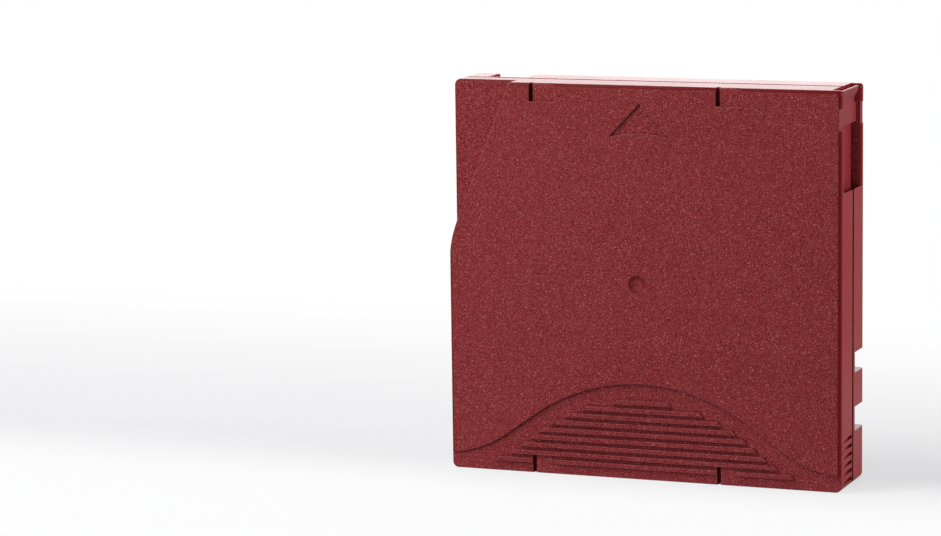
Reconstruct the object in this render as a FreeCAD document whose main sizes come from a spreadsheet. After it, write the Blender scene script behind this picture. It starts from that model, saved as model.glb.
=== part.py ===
"""Single-reel data tape cartridge, half-inch tape, built as a parametric FreeCAD document.

Millimetres. +Z points the way the cartridge is pushed into a drive, so it stands on its rear edge.
-Y is the labelled face of the upper shell, +Y the face that the drive hub enters, +X the door side.
The origin is in the middle of the rear edge.
"""
import FreeCAD, Part
import math
import os
import Sketcher

DOC = FreeCAD.newDocument("tape_cartridge")
SHEET = DOC.addObject("Spreadsheet::Sheet", "Sizes")
V = FreeCAD.Vector

SIZES = [
    ("case_width", 105.4, "outside of the case, left to right"),
    ("case_height", 102.0, "rear edge to leading edge"),
    ("case_depth", 21.5, "labelled face to drive face"),
    ("parting_depth", 11.5, "labelled face to the line where the shells meet"),
    ("corner_radius", 1.6, "plan corners of both shells"),
    ("door_corner_radius", 0.9, "plan corner beside the door"),
    ("edge_fillet", 1.1, "rounding of the outer face edges"),
    ("front_plate", 2.0, "thickness of the upper shell's plate"),
    ("back_plate", 2.0, "thickness of the lower shell's plate"),
    ("left_wall", 2.2, "left side wall"),
    ("end_wall", 2.0, "rear and leading walls"),
    ("rebate_depth", 0.45, "shadow groove along the parting line"),
    ("rebate_width", 0.9, "shadow groove, share of the upper shell"),
    ("rebate_lower", 0.5, "shadow groove, share of the lower shell"),
    ("reel_from_left", 51.5, "reel axis from the left side"),
    ("reel_from_rear", 51.0, "reel axis from the rear edge"),
    ("reel_gap", 0.65, "flange edge to the nearest wall"),
    ("step_depth", 5.55, "depth of the cut-back leading corner"),
    ("step_fillet", 0.6, "rounding of the cut-back's outer edges"),
    ("step_plate", 1.6, "plate under the cut-back corner"),
    ("step_top", 17.3, "where the cut-back meets the leading edge, from the left"),
    ("step_angle", 22.3, "slant of the cut-back's wall, degrees"),
    ("step_arc", 39.0, "radius that carries the cut-back to the left side"),
    ("step_overrun", 0.25, "how far outside the side the arc turns upright"),
    ("ramp_first", 22.6, "first ramp recess from the left"),
    ("ramp_pitch", 50.1, "distance between the two ramp recesses"),
    ("ramp_length", 7.0, "length of each ramp recess"),
    ("ramp_depth", 2.0, "ramp recess at its deep end"),
    ("ramp_shallow", 0.25, "ramp recess at its shallow end"),
    ("ramp_reach", 4.75, "ramp recess from the edge of the case"),
    ("ramp_slot", 1.0, "level floor at the deep end"),
    ("arrow_tip", 4.6, "arrow tip from the leading edge"),
    ("arrow_length", 8.7, "arrow from tip to corners"),
    ("arrow_width", 16.4, "arrow across its corners"),
    ("arrow_arc", 32.0, "radius of the hollow base of the arrow"),
    ("arrow_aside", 0.3, "arrow's axis left of the middle"),
    ("arrow_depth", 0.4, "depth of the arrow"),
    ("dimple_radius", 2.3, "moulding gate dimple over the reel axis"),
    ("dimple_depth", 0.5, "depth of the dimple"),
    ("grip_top", 25.1, "crown of the finger grip from the rear edge"),
    ("grip_crown", 50.0, "radius of the grip's crown"),
    ("grip_slope", 35.5, "slope of the grip's flanks, degrees"),
    ("grip_flank", 10.0, "straight part of each flank"),
    ("grip_foot", 32.0, "radius that flattens each flank"),
    ("grip_depth", 0.5, "depth of the finger grip"),
    ("rib_first", 3.3, "lowest grip rib from the rear edge"),
    ("rib_pitch", 2.1, "distance between grip ribs"),
    ("rib_width", 1.15, "width of a grip rib"),
    ("rib_slant", 0.55, "lean of a rib's ends, each way from its middle"),
    ("rib_half_1", 40.0, "half length of the lowest rib"),
    ("rib_half_2", 35.7, "half length of the second rib"),
    ("rib_half_3", 32.8, "half length of the third rib"),
    ("rib_half_4", 30.1, "half length of the fourth rib"),
    ("rib_half_5", 27.5, "half length of the fifth rib"),
    ("rib_half_6", 24.6, "half length of the sixth rib"),
    ("rib_half_7", 20.7, "half length of the seventh rib"),
    ("rib_half_8", 15.8, "half length of the eighth rib"),
    ("rib_half_9", 7.3, "half length of the highest rib"),
    ("side_grip_first", 2.1, "lowest side slot from the rear edge"),
    ("side_grip_pitch", 2.15, "distance between side slots"),
    ("side_grip_width", 1.0, "width of a side slot"),
    ("side_grip_depth", 0.7, "side slot at its deep end"),
    ("side_grip_start", 1.0, "shallow end of the side slots from the labelled face"),
    ("side_grip_end", 10.4, "deep end of the side slots from the labelled face"),
    ("notch_low", 13.7, "lower gripper notch from the rear edge"),
    ("notch_low_height", 6.2, "height of the lower gripper notch"),
    ("notch_high", 28.7, "upper gripper notch from the rear edge"),
    ("notch_high_height", 5.3, "height of the upper gripper notch"),
    ("notch_start", 13.2, "gripper notches from the labelled face"),
    ("notch_depth", 2.6, "gripper notches into the side"),
    ("notch_wall", 1.2, "wall moulded round each gripper notch"),
    ("load_left", 6.8, "loading notch from the left"),
    ("load_width", 10.6, "width of the loading notch"),
    ("load_depth", 7.5, "loading notch from the leading edge"),
    ("load_wall", 1.2, "wall moulded round the loading notch"),
    ("door_inset", 2.6, "door face below the side of the case"),
    ("door_thickness", 1.2, "door plate"),
    ("door_gap", 0.15, "running gap of the door across its plate"),
    ("door_edge_gap", 0.2, "running gap of the door at its two edges"),
    ("door_open_low", 76.0, "lower end of the door opening"),
    ("door_sill_fall", 2.4, "fall of the opening's lower end towards the inside"),
    ("door_sill_corner", 2.0, "rounded near corner of the opening's lower end"),
    ("door_lap", 4.5, "door hidden behind the wall below the opening"),
    ("door_groove", 0.8, "grooves in the plates that guide the door"),
    ("door_lip_front", 1.6, "near lip of the door opening from the labelled face"),
    ("door_lip_back", 2.8, "far lip of the door opening from the drive face"),
    ("door_lip_round", 1.2, "rounding of the far lip's near edge"),
    ("door_travel", 16.0, "how far the door slides"),
    ("door_tab_height", 5.0, "raised tab of the door"),
    ("door_tab_rise", 1.3, "how far the tab stands proud"),
    ("door_tab_gap", 0.5, "tab to the opening's end when the door is open"),
    ("door_top_gap", 0.3, "door lip below the leading face"),
    ("door_bar", 0.7, "bar at the door's leading end"),
    ("door_bar_face", 0.6, "upright face of the bar"),
    ("door_flare", 2.5, "height over which the door's face leans out to the bar"),
    ("door_pocket", 1.1, "pocket behind the bar, below the leading end"),
    ("door_bar_front", 2.4, "bar from the labelled face"),
    ("door_bar_back", 4.8, "bar from the drive face"),
    ("guide_wall", 1.0, "ribs inside the door"),
    ("guide_height", 1.3, "height of the ribs inside the door"),
    ("relief_low", 91.9, "pin channel relief from the rear edge"),
    ("relief_height", 5.5, "height of the pin channel relief"),
    ("relief_depth", 0.65, "depth of the pin channel relief, near lip"),
    ("relief_back_depth", 0.35, "depth of the pin channel relief, far lip"),
    ("hub_bore", 17.5, "radius of the drive opening"),
    ("bore_gap", 0.9, "hub to the drive opening"),
    ("hub_radius", 22.0, "outer radius of the hub"),
    ("hub_wall", 2.0, "wall of the hub"),
    ("hub_rise", 1.9, "hub's driven end beyond the lower flange"),
    ("flange_thickness", 1.1, "both flanges"),
    ("flange_lip", 1.4, "upper flange's ring that sits in the hub"),
    ("flange_lip_wall", 1.2, "wall of that ring"),
    ("weld_gap", 0.05, "ring to the hub's bore"),
    ("reel_front_gap", 1.0, "upper flange to the upper plate"),
    ("reel_rest_gap", 0.3, "lower flange to the ring it rests on"),
    ("rest_ring_wall", 2.2, "width of the ring round the opening"),
    ("tape_width", 12.65, "half-inch tape"),
    ("tape_gap", 0.12, "tape edge to each flange"),
    ("tape_margin", 2.1, "full tape pack inside the flange edge"),
    ("tape_lead_thickness", 0.15, "end of the tape between pack and pin"),
    ("web_inset", 0.9, "hub web's inner face in front of the lower flange face"),
    ("tooth_count", 36, "teeth of the hub and of the brake"),
    ("brake_tooth_in", 12.6, "inner radius of the brake teeth"),
    ("brake_tooth_out", 15.4, "outer radius of the brake teeth"),
    ("brake_tooth_height", 1.0, "height of the brake teeth"),
    ("brake_tooth_base", 0.95, "brake tooth across its root"),
    ("brake_tooth_tip", 0.45, "brake tooth across its tip"),
    ("mesh_gap", 0.12, "gap round each brake tooth"),
    ("brake_gap", 0.15, "brake to the hub's ring and to the release pad"),
    ("brake_disc", 2.0, "thickness of the brake's disc"),
    ("brake_lift", 1.6, "how far the drive lifts the brake"),
    ("brake_post", 5.2, "radius of the brake's post"),
    ("brake_top_gap", 0.5, "brake's post to the plate when lifted"),
    ("cross_half", 3.4, "half length of the guide cross"),
    ("cross_wall", 1.3, "thickness of the guide cross"),
    ("cross_length", 8.0, "guide cross from the plate"),
    ("cross_gap", 0.15, "guide cross to its slot"),
    ("spring_wire", 0.9, "wire of the brake spring"),
    ("spring_mean", 7.0, "mean radius of the brake spring"),
    ("spring_turns", 4.5, "turns of the brake spring"),
    ("spring_seat_gap", 0.1, "spring ends to their seats"),
    ("coil_steps", 10, "straight steps in one turn of a spring"),
    ("wire_sides", 5, "sides of a spring's wire"),
    ("pad_thickness", 1.2, "release pad"),
    ("pad_radius", 11.7, "release pad"),
    ("leg_circle", 10.0, "circle of the release pad's legs"),
    ("leg_radius", 1.45, "legs of the release pad"),
    ("leg_gap", 0.3, "legs to their holes"),
    ("drive_tooth_in", 14.3, "inner radius of the driven teeth"),
    ("drive_tooth_depth", 1.0, "depth of the driven teeth"),
    ("drive_tooth_width", 1.35, "groove between driven teeth"),
    ("plate_out", 13.6, "outer radius of the clutch plate"),
    ("plate_in", 4.0, "inner radius of the clutch plate"),
    ("plate_thickness", 1.0, "clutch plate"),
    ("plate_inset", 0.2, "clutch plate below the hub's driven face"),
    ("plate_gap", 0.1, "clutch plate to its seat"),
    ("pin_from_right", 7.8, "leader pin from the door side"),
    ("pin_from_top", 7.0, "leader pin from the leading edge"),
    ("pin_radius", 1.25, "leader pin's shaft"),
    ("pin_head", 2.4, "leader pin's end collars"),
    ("pin_head_thickness", 1.0, "leader pin's end collars"),
    ("pin_seat_gap", 0.2, "pin ends and collars to their seats"),
    ("pin_seat_wall", 1.4, "wall of each pin seat"),
    ("clamp_radius", 2.1, "tape clamp round the pin"),
    ("clamp_gap", 0.02, "clamp to the pin"),
    ("clip_width", 3.0, "retaining spring's arms"),
    ("clip_thickness", 0.35, "retaining spring's sheet"),
    ("clip_back", 5.2, "retaining spring's back from the pin axis"),
    ("clip_reach", 1.6, "arms past the pin axis"),
    ("post_inset", 6.2, "corner screws from the sides and ends"),
    ("post_radius", 2.7, "screw posts"),
    ("post_corner_x", 4.0, "leading corner screw from the left"),
    ("post_corner_z", 5.2, "leading corner screw from the leading edge"),
    ("post_pin_x", 18.5, "screw beside the leader pin, from the door side"),
    ("post_pin_z", 5.4, "screw beside the leader pin, from the leading edge"),
    ("screw_radius", 0.95, "screw shank"),
    ("screw_bite", 3.0, "thread of each screw in the upper posts"),
    ("screw_head", 1.9, "screw head"),
    ("screw_head_height", 1.2, "screw head"),
    ("screw_hole_gap", 0.15, "screw to its hole in the lower shell"),
    ("screw_sink", 3.6, "screw's seat below the drive face"),
    ("post_end", 0.05, "upper and lower posts to each other"),
    ("locate_from_right", 9.0, "right locating hole from the door side"),
    ("locate_from_left", 6.5, "left locating hole from the left"),
    ("locate_top_right", 22.0, "right locating hole from the leading edge"),
    ("locate_top_left", 16.0, "left locating hole from the leading edge"),
    ("locate_radius", 2.0, "locating holes"),
    ("locate_wall", 0.8, "cup moulded round each locating hole"),
    ("locate_depth", 3.5, "depth of the locating holes"),
    ("tab_left", 13.0, "write protect window from the left"),
    ("tab_window", 9.0, "write protect window"),
    ("tab_length", 5.6, "write protect slide"),
    ("tab_height", 3.6, "write protect slide, across the case"),
    ("tab_from_back", 3.4, "write protect window from the drive face"),
    ("tab_thickness", 1.6, "write protect slide's face"),
    ("tab_flange", 1.0, "slide's runners beyond its face"),
    ("tab_flange_thickness", 0.8, "slide's runners"),
    ("tab_gap", 0.12, "slide to its window"),
    ("tab_rail", 1.0, "rails that hold the slide"),
    ("tab_inset", 0.3, "slide's face below the rear edge"),
    ("tab_grip", 0.5, "slide's finger groove"),
    ("board_from_right", 12.4, "memory board from the door side"),
    ("board_length", 14.0, "memory board"),
    ("board_width", 9.5, "memory board across its slant"),
    ("board_thickness", 0.8, "memory board"),
    ("board_rear", 3.6, "memory board's low edge from the rear edge"),
    ("board_back", 9.6, "memory board's low edge from the drive face"),
    ("coil_inset", 0.8, "antenna coil inside the board's edge"),
    ("coil_band", 1.4, "width of the antenna coil"),
    ("coil_thickness", 0.15, "antenna coil"),
    ("chip_size", 2.2, "sealed chip"),
    ("chip_thickness", 0.7, "sealed chip"),
    ("board_rib", 1.2, "ribs that carry the memory board"),
    ("board_seat_gap", 0.05, "memory board to its ribs"),
    ("door_spring_wire", 0.5, "wire of the door spring"),
    ("door_spring_mean", 1.05, "mean radius of the door spring"),
    ("door_spring_turns", 12.0, "turns of the door spring"),
    ("door_spring_low", 37.0, "door spring's stop from the rear edge"),
    ("door_spring_stop", 1.4, "thickness of the door spring's stop"),
]


class Size:
    """A number that remembers the sheet expression it came from."""

    def __init__(self, value, text):
        self.value = float(value)
        self.text = text

    def __add__(self, other):
        other = as_size(other)
        return Size(self.value + other.value, "(%s + %s)" % (self.text, other.text))

    def __radd__(self, other):
        return as_size(other) + self

    def __sub__(self, other):
        other = as_size(other)
        return Size(self.value - other.value, "(%s - %s)" % (self.text, other.text))

    def __rsub__(self, other):
        return as_size(other) - self

    def __mul__(self, other):
        other = as_size(other)
        return Size(self.value * other.value, "(%s * %s)" % (self.text, other.text))

    def __rmul__(self, other):
        return as_size(other) * self

    def __truediv__(self, other):
        other = as_size(other)
        return Size(self.value / other.value, "(%s / %s)" % (self.text, other.text))

    def __rtruediv__(self, other):
        return as_size(other) / self

    def __neg__(self):
        return Size(-self.value, "(0 - %s)" % self.text)


def as_size(number):
    return number if isinstance(number, Size) else Size(number, repr(float(number)))


def sine(angle):
    return Size(math.sin(math.radians(angle.value)), "sin(%s * 1 deg)" % angle.text)


def cosine(angle):
    return Size(math.cos(math.radians(angle.value)), "cos(%s * 1 deg)" % angle.text)


def root(number):
    return Size(math.sqrt(number.value), "sqrt(%s)" % number.text)


def smaller(first, *rest):
    result = as_size(first)
    for other in rest:
        other = as_size(other)
        result = Size(min(result.value, other.value), "min(%s; %s)" % (result.text, other.text))
    return result


def fill_sheet():
    for row, (name, value, note) in enumerate(SIZES, start=1):
        SHEET.set("A%d" % row, name)
        SHEET.set("B%d" % row, repr(value))
        SHEET.set("C%d" % row, note)
        SHEET.setAlias("B%d" % row, name)
    DOC.recompute()


def size(name):
    return Size(getattr(SHEET, name), "Sizes." + name)


fill_sheet()

# Shared positions. Every one is worked out from the sheet.
LEFT = -size("case_width") / 2
RIGHT = size("case_width") / 2
TOP = size("case_height")
FRONT = -size("case_depth") / 2
BACK = size("case_depth") / 2
PARTING = FRONT + size("parting_depth")
UPPER_IN = FRONT + size("front_plate")
LOWER_IN = BACK - size("back_plate")
REEL_X = LEFT + size("reel_from_left")
REEL_Z = size("reel_from_rear")
DOOR_OUT = RIGHT - size("door_inset")
DOOR_IN = DOOR_OUT - size("door_thickness")
SIDE_IN = DOOR_OUT + size("door_gap")
GUIDE_OUT = DOOR_IN - size("door_gap")
GUIDE_IN = GUIDE_OUT - size("guide_wall")
FLANGE = smaller(
    size("reel_from_left") - size("left_wall"),
    size("reel_from_rear") - size("end_wall"),
    TOP - size("reel_from_rear") - size("end_wall"),
    GUIDE_IN - REEL_X,
) - size("reel_gap")
FLANGE_FRONT = UPPER_IN + size("reel_front_gap")
HUB_FRONT = FLANGE_FRONT + size("flange_thickness")
TAPE_FRONT = HUB_FRONT + size("tape_gap")
TAPE_BACK = TAPE_FRONT + size("tape_width")
LOWER_FLANGE = TAPE_BACK + size("tape_gap")
REEL_BACK = LOWER_FLANGE + size("flange_thickness")
HUB_BACK = REEL_BACK + size("hub_rise")
WEB_IN = REEL_BACK - size("web_inset")
TOOTH_RING = size("brake_tooth_height") + 2 * size("mesh_gap")
TOOTH_TOP = WEB_IN - TOOTH_RING
BRAKE_FACE = TOOTH_TOP - size("brake_gap")
BRAKE_BACK = BRAKE_FACE - size("brake_disc")
POST_TOP = UPPER_IN + size("brake_lift") + size("brake_top_gap")
CROSS_END = UPPER_IN + size("cross_length")
PAD_FRONT = BRAKE_FACE + size("brake_gap")
PIN_X = RIGHT - size("pin_from_right")
PIN_Z = TOP - size("pin_from_top")
PIN_FRONT = UPPER_IN + size("pin_seat_gap")
PIN_BACK = LOWER_IN - size("pin_seat_gap")
DOOR_LOW = size("door_open_low") - size("door_lap")
DOOR_TOP = TOP - size("door_top_gap")
TAB_LOW = size("door_open_low") + size("door_travel") + size("door_tab_gap")
WALL_END = DOOR_OUT - 2 * size("door_gap")
SCREW_SEAT = BACK - size("screw_sink")
SCREW_LENGTH = SCREW_SEAT - PARTING + size("screw_bite")
BOARD_X = RIGHT - size("board_from_right") - size("board_length")


def check_state():
    for item in DOC.Objects:
        if "Invalid" in item.State or "Error" in item.State:
            raise RuntimeError("%s did not build: %s" % (item.Label, item.State))


def new_body(name):
    body = DOC.addObject("PartDesign::Body", name)
    body.Label = name
    body.Placement = FreeCAD.Placement()
    return body


def sketch_on(body, name, role, offset):
    """A sketch on one of the body's own origin planes, moved along that plane's normal."""
    sketch = body.newObject("Sketcher::SketchObject", name)
    for item in body.Origin.OriginFeatures:
        if item.Role == role:
            sketch.AttachmentSupport = [(item, "")]
    sketch.MapMode = "FlatFace"
    if role == "XZ_Plane":
        offset = -as_size(offset)
    sketch.AttachmentOffset = FreeCAD.Placement(V(0, 0, as_size(offset).value), FreeCAD.Rotation())
    sketch.setExpression("AttachmentOffset.Base.z", as_size(offset).text)
    return sketch


def fix(sketch, kind, *args):
    """Add a constraint whose last argument is a Size, and tie it to the sheet."""
    value = as_size(args[-1])
    index = sketch.addConstraint(Sketcher.Constraint(kind, *args[:-1], value.value))
    sketch.setExpression("Constraints[%d]" % index, value.text)


def fix_point(sketch, geo, end, x, y):
    fix(sketch, "DistanceX", -1, 1, geo, end, x)
    fix(sketch, "DistanceY", -1, 1, geo, end, y)


def ring(sketch, x, y, radius):
    x, y, radius = as_size(x), as_size(y), as_size(radius)
    geo = sketch.addGeometry(Part.Circle(V(x.value, y.value, 0), V(0, 0, 1), radius.value), False)
    fix_point(sketch, geo, 3, x, y)
    fix(sketch, "Radius", geo, radius)


def arc_through(start, end, radius, turn):
    """Arc from start to end; turn is 1 anticlockwise and -1 clockwise, always the short way."""
    chord = end - start
    middle = (start + end) * 0.5
    rise = math.sqrt(max(radius * radius - chord.Length ** 2 / 4, 0.0))
    side = V(-chord.y, chord.x, 0).normalize()
    centre = middle + side * rise * turn
    first = math.atan2(start.y - centre.y, start.x - centre.x)
    last = math.atan2(end.y - centre.y, end.x - centre.x)
    if turn < 0:
        first, last = last, first
    return Part.ArcOfCircle(Part.Circle(centre, V(0, 0, 1), radius), first, last)


def outline(sketch, corners):
    """Closed profile. A corner is (x, y), or (x, y, radius, turn) when an arc leads on from it."""
    points = [(as_size(c[0]), as_size(c[1])) for c in corners]
    edges = []
    for index, corner in enumerate(corners):
        here = V(points[index][0].value, points[index][1].value, 0)
        after = points[(index + 1) % len(corners)]
        there = V(after[0].value, after[1].value, 0)
        if len(corner) == 2:
            geo = sketch.addGeometry(Part.LineSegment(here, there), False)
            edges.append((geo, 1, 2))
        else:
            arc = arc_through(here, there, as_size(corner[2]).value, corner[3])
            geo = sketch.addGeometry(arc, False)
            edges.append((geo, 1, 2) if corner[3] > 0 else (geo, 2, 1))
    for index, (geo, start, end) in enumerate(edges):
        after = edges[(index + 1) % len(edges)]
        sketch.addConstraint(Sketcher.Constraint("Coincident", geo, end, after[0], after[1]))
    for index, (geo, start, end) in enumerate(edges):
        fix_point(sketch, geo, start, *points[index])
        if len(corners[index]) > 2:
            fix(sketch, "Radius", geo, as_size(corners[index][2]))


def box_outline(sketch, x_low, x_high, y_low, y_high):
    outline(sketch, [(x_low, y_low), (x_high, y_low), (x_high, y_high), (x_low, y_high)])


def case_plan(sketch, inset):
    """Outside of the case moved inwards by inset, with the smaller corner beside the door."""
    turn, door_turn = size("corner_radius"), size("door_corner_radius")
    x_low, x_high, z_low, z_high = LEFT + inset, RIGHT - inset, as_size(inset), TOP - inset
    outline(sketch, [
        (x_low + turn, z_low), (x_high - turn, z_low, turn, 1),
        (x_high, z_low + turn), (x_high, z_high - door_turn, door_turn, 1),
        (x_high - door_turn, z_high), (x_low + turn, z_high, turn, 1),
        (x_low, z_high - turn), (x_low, z_low + turn, turn, 1),
    ])


def extrude(body, kind, name, sketch, length, flip):
    """Pad or Pocket of a length. The volume must change, which shows a cut that points away."""
    before = body.Tip.Shape.Volume if body.Tip is not None and body.Tip != sketch else 0.0
    feature = body.newObject("PartDesign::" + kind, name)
    feature.Profile = sketch
    feature.Reversed = flip
    feature.Length = as_size(length).value
    feature.setExpression("Length", as_size(length).text)
    DOC.recompute()
    if "Invalid" in feature.State or abs(feature.Shape.Volume - before) < 0.001:
        raise RuntimeError("%s changed nothing: %s" % (name, feature.State))
    return feature


# Directions: on XZ planes a pad runs to the front (-Y) and a pocket to the back unless flipped.
def pad_back(body, name, sketch, length):
    return extrude(body, "Pad", name, sketch, length, True)


def pad_front(body, name, sketch, length):
    return extrude(body, "Pad", name, sketch, length, False)


def cut_back(body, name, sketch, length):
    return extrude(body, "Pocket", name, sketch, length, False)


def cut_front(body, name, sketch, length):
    return extrude(body, "Pocket", name, sketch, length, True)


def round_edges(body, name, base, radius, wanted):
    """Fillet of the edges of base for which wanted(edge) holds."""
    names = ["Edge%d" % (i + 1) for i, edge in enumerate(base.Shape.Edges) if wanted(edge)]
    feature = body.newObject("PartDesign::Fillet", name)
    feature.Base = (base, names)
    feature.Radius = radius.value
    feature.setExpression("Radius", radius.text)
    DOC.recompute()
    return feature


def outer_step_edge(edge):
    """True for the edges of the cut-back's floor that lie on the outside of the case."""
    box, turn = edge.BoundBox, size("corner_radius").value + 1e-3
    at_left = box.XMax < LEFT.value + 1e-3
    at_top = box.ZMin > TOP.value - 1e-3
    at_corner = box.XMax < LEFT.value + turn and box.ZMin > TOP.value - turn
    return at_depth((FRONT + size("step_depth")).value)(edge) and (at_left or at_top or at_corner)


def far_lip_edge(edge):
    """True for the upright edge of the far lip on the door side of the case."""
    box = edge.BoundBox
    upright = box.ZLength > size("door_tab_height").value and box.XMin > RIGHT.value - 1e-3
    return upright and at_depth((BACK - size("door_lip_back")).value)(edge)


def at_depth(depth):
    return lambda edge: abs(edge.BoundBox.YMin - depth) < 1e-4 and abs(edge.BoundBox.YMax - depth) < 1e-4


def step_boundary(shift):
    """Corners of the cut-back's slanting wall, moved towards the reel by shift."""
    angle = size("step_angle")
    sideways = shift / cosine(angle)
    slope = sine(angle) / cosine(angle)
    radius = size("step_arc") - shift
    upright = LEFT - size("step_overrun") + shift
    turn_x = upright + radius * (1 - cosine(angle))
    top_x = LEFT + size("step_top") + sideways
    turn_z = TOP - (top_x - turn_x) / slope
    low_z = turn_z - radius * sine(angle)
    return top_x, turn_x, turn_z, upright, low_z, radius, slope


def step_outline(sketch, shift, reach):
    """Region of the cut-back corner, run past the leading and left edges by reach."""
    top_x, turn_x, turn_z, upright, low_z, radius, slope = step_boundary(shift)
    outline(sketch, [
        (LEFT - reach, low_z), (upright, low_z, radius, -1), (turn_x, turn_z),
        (top_x + reach * slope, TOP + reach), (LEFT - reach, TOP + reach),
    ])


def cavity_outline(sketch):
    box_outline(sketch, LEFT + size("left_wall"), SIDE_IN, size("end_wall"), TOP - size("end_wall"))


def post_sites():
    """Screw axes: the two rear corners, the leading left corner and beside the leader pin."""
    low = size("post_inset")
    return [
        (LEFT + low, low),
        (RIGHT - low - size("door_inset"), low),
        (LEFT + size("post_corner_x"), TOP - size("post_corner_z")),
        (RIGHT - size("post_pin_x"), TOP - size("post_pin_z")),
    ]


def shell_blank(name, start, length, face, flip_pad):
    """Outer block of one shell with its rounded corners, face edges and parting groove."""
    body = new_body(name)
    plan = sketch_on(body, name + "_plan", "XZ_Plane", start)
    case_plan(plan, 0)
    block = extrude(body, "Pad", name + "_block", plan, length, flip_pad)
    round_edges(body, name + "_rounding", block, size("edge_fillet"), at_depth(face.value))
    return body


def parting_groove(body, name, width, flip):
    """Shadow groove round the outside, cut from the parting plane."""
    plan = sketch_on(body, name + "_groove_plan", "XZ_Plane", PARTING)
    deep = size("rebate_depth")
    box_outline(plan, LEFT - 1, RIGHT + 1, as_size(-1), TOP + 1)
    case_plan(plan, deep)
    extrude(body, "Pocket", name + "_groove", plan, width, flip)


def door_opening(body, name, start, length, flip):
    """Side wall opened for the door, from its leaning lower end out through the leading edge."""
    plan = sketch_on(body, name + "_opening_plan", "XZ_Plane", start)
    sill = size("door_open_low")
    outline(plan, [
        (WALL_END, sill - size("door_sill_fall")), (RIGHT, sill), (RIGHT + 1, sill),
        (RIGHT + 1, TOP + 1), (WALL_END, TOP + 1),
    ])
    return extrude(body, "Pocket", name + "_opening", plan, length, flip)


def door_groove(body, name, start, length, flip):
    """Groove in the plate that the door's edge runs in, as long as the door's whole travel."""
    plan = sketch_on(body, name + "_door_groove_plan", "XZ_Plane", start)
    low = DOOR_LOW - size("door_travel") - size("door_tab_gap")
    box_outline(plan, GUIDE_OUT, SIDE_IN, low, TOP - size("end_wall"))
    extrude(body, "Pocket", name + "_door_groove", plan, length, flip)


def sill_corner(body):
    """Rounded near corner of the opening's lower end, outside the path of the door's tab."""
    plan = sketch_on(body, "sill_corner_plan", "YZ_Plane", DOOR_OUT + size("door_tab_rise") + size("door_gap"))
    near, sill, turn = FRONT + size("door_lip_front"), size("door_open_low"), size("door_sill_corner")
    low = sill - size("door_sill_fall")
    outline(plan, [
        (near - 0.1, low), (near + turn, low), (near + turn, sill, turn, -1), (near, sill + turn),
        (near - 0.1, sill + turn),
    ])
    length = size("door_inset") - size("door_tab_rise") - size("door_gap")
    extrude(body, "Pad", "sill_corner", plan, length - size("edge_fillet") / 10, False)


def relief(body, name, role_start, length, depth, flip):
    """Shallow relief of the opening's lip across the leader pin's channel."""
    plan = sketch_on(body, name + "_relief_plan", "XZ_Plane", role_start)
    low = size("relief_low")
    box_outline(plan, RIGHT - depth, RIGHT + 1, low, low + size("relief_height"))
    extrude(body, "Pocket", name + "_relief", plan, length, flip)


def guide_ribs(body, name, start, flip):
    """Rib on the plate, inside the door, beside the part of its path that the wall covers."""
    plan = sketch_on(body, name + "_guide_plan", "XZ_Plane", start)
    low = DOOR_LOW - size("door_travel")
    box_outline(plan, GUIDE_IN, GUIDE_OUT, low, size("door_open_low") + size("door_lap") * 3)
    extrude(body, "Pad", name + "_guide", plan, size("guide_height"), flip)


def pin_seat(body, name, start, flip):
    """Half-round wall that holds one end of the leader pin, open towards the door."""
    outer = size("pin_head") + size("pin_seat_gap") + size("pin_seat_wall")
    inner = size("pin_head") + size("pin_seat_gap")
    plan = sketch_on(body, name + "_seat_plan", "XZ_Plane", start)
    outline(plan, [
        (PIN_X, PIN_Z - outer), (PIN_X + inner, PIN_Z - outer), (PIN_X + inner, PIN_Z - inner),
        (PIN_X, PIN_Z - inner, inner, -1), (PIN_X - inner, PIN_Z),
        (PIN_X - outer, PIN_Z, outer, 1),
    ])
    extrude(body, "Pad", name + "_seat", plan, size("pin_head_thickness"), flip)


def side_grips(body, name, edge, sign):
    """Row of wedge slots in a side of the upper shell, deepest beside the parting line."""
    plan = sketch_on(body, name + "_plan", "XY_Plane", size("side_grip_first") - size("side_grip_width") / 2)
    end = FRONT + size("side_grip_end")
    deep = edge - sign * size("side_grip_depth")
    start, beyond = FRONT + size("side_grip_start"), edge + sign * 0.6
    outline(plan, [(beyond, start), (beyond, end), (deep, end), (edge, start)])
    slot = extrude(body, "Pocket", name, plan, size("side_grip_width"), True)
    row = body.newObject("PartDesign::LinearPattern", name + "_row")
    row.Originals = [slot]
    row.Direction = (plan, ["N_Axis"])
    row.Occurrences = 6
    row.Length = 5 * size("side_grip_pitch").value
    row.setExpression("Length", (5 * size("side_grip_pitch")).text)
    body.Tip = row
    DOC.recompute()


def ramp_cuts(body, name, level, flip):
    """Two wedge recesses in the labelled face, open to one edge of the case."""
    plan = sketch_on(body, name + "_plan", "XY_Plane", level)
    for shift in (as_size(0), size("ramp_pitch")):
        start = LEFT + size("ramp_first") + shift
        floor = FRONT + size("ramp_depth") * 0.9
        outline(plan, [
            (start, FRONT - 1), (start + size("ramp_length"), FRONT - 1),
            (start + size("ramp_length"), FRONT + size("ramp_shallow")),
            (start + size("ramp_slot"), FRONT + size("ramp_shallow") * 2.4),
            (start + size("ramp_slot"), floor), (start, floor),
        ])
    extrude(body, "Pocket", name, plan, size("ramp_reach") + 1, flip)


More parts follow.
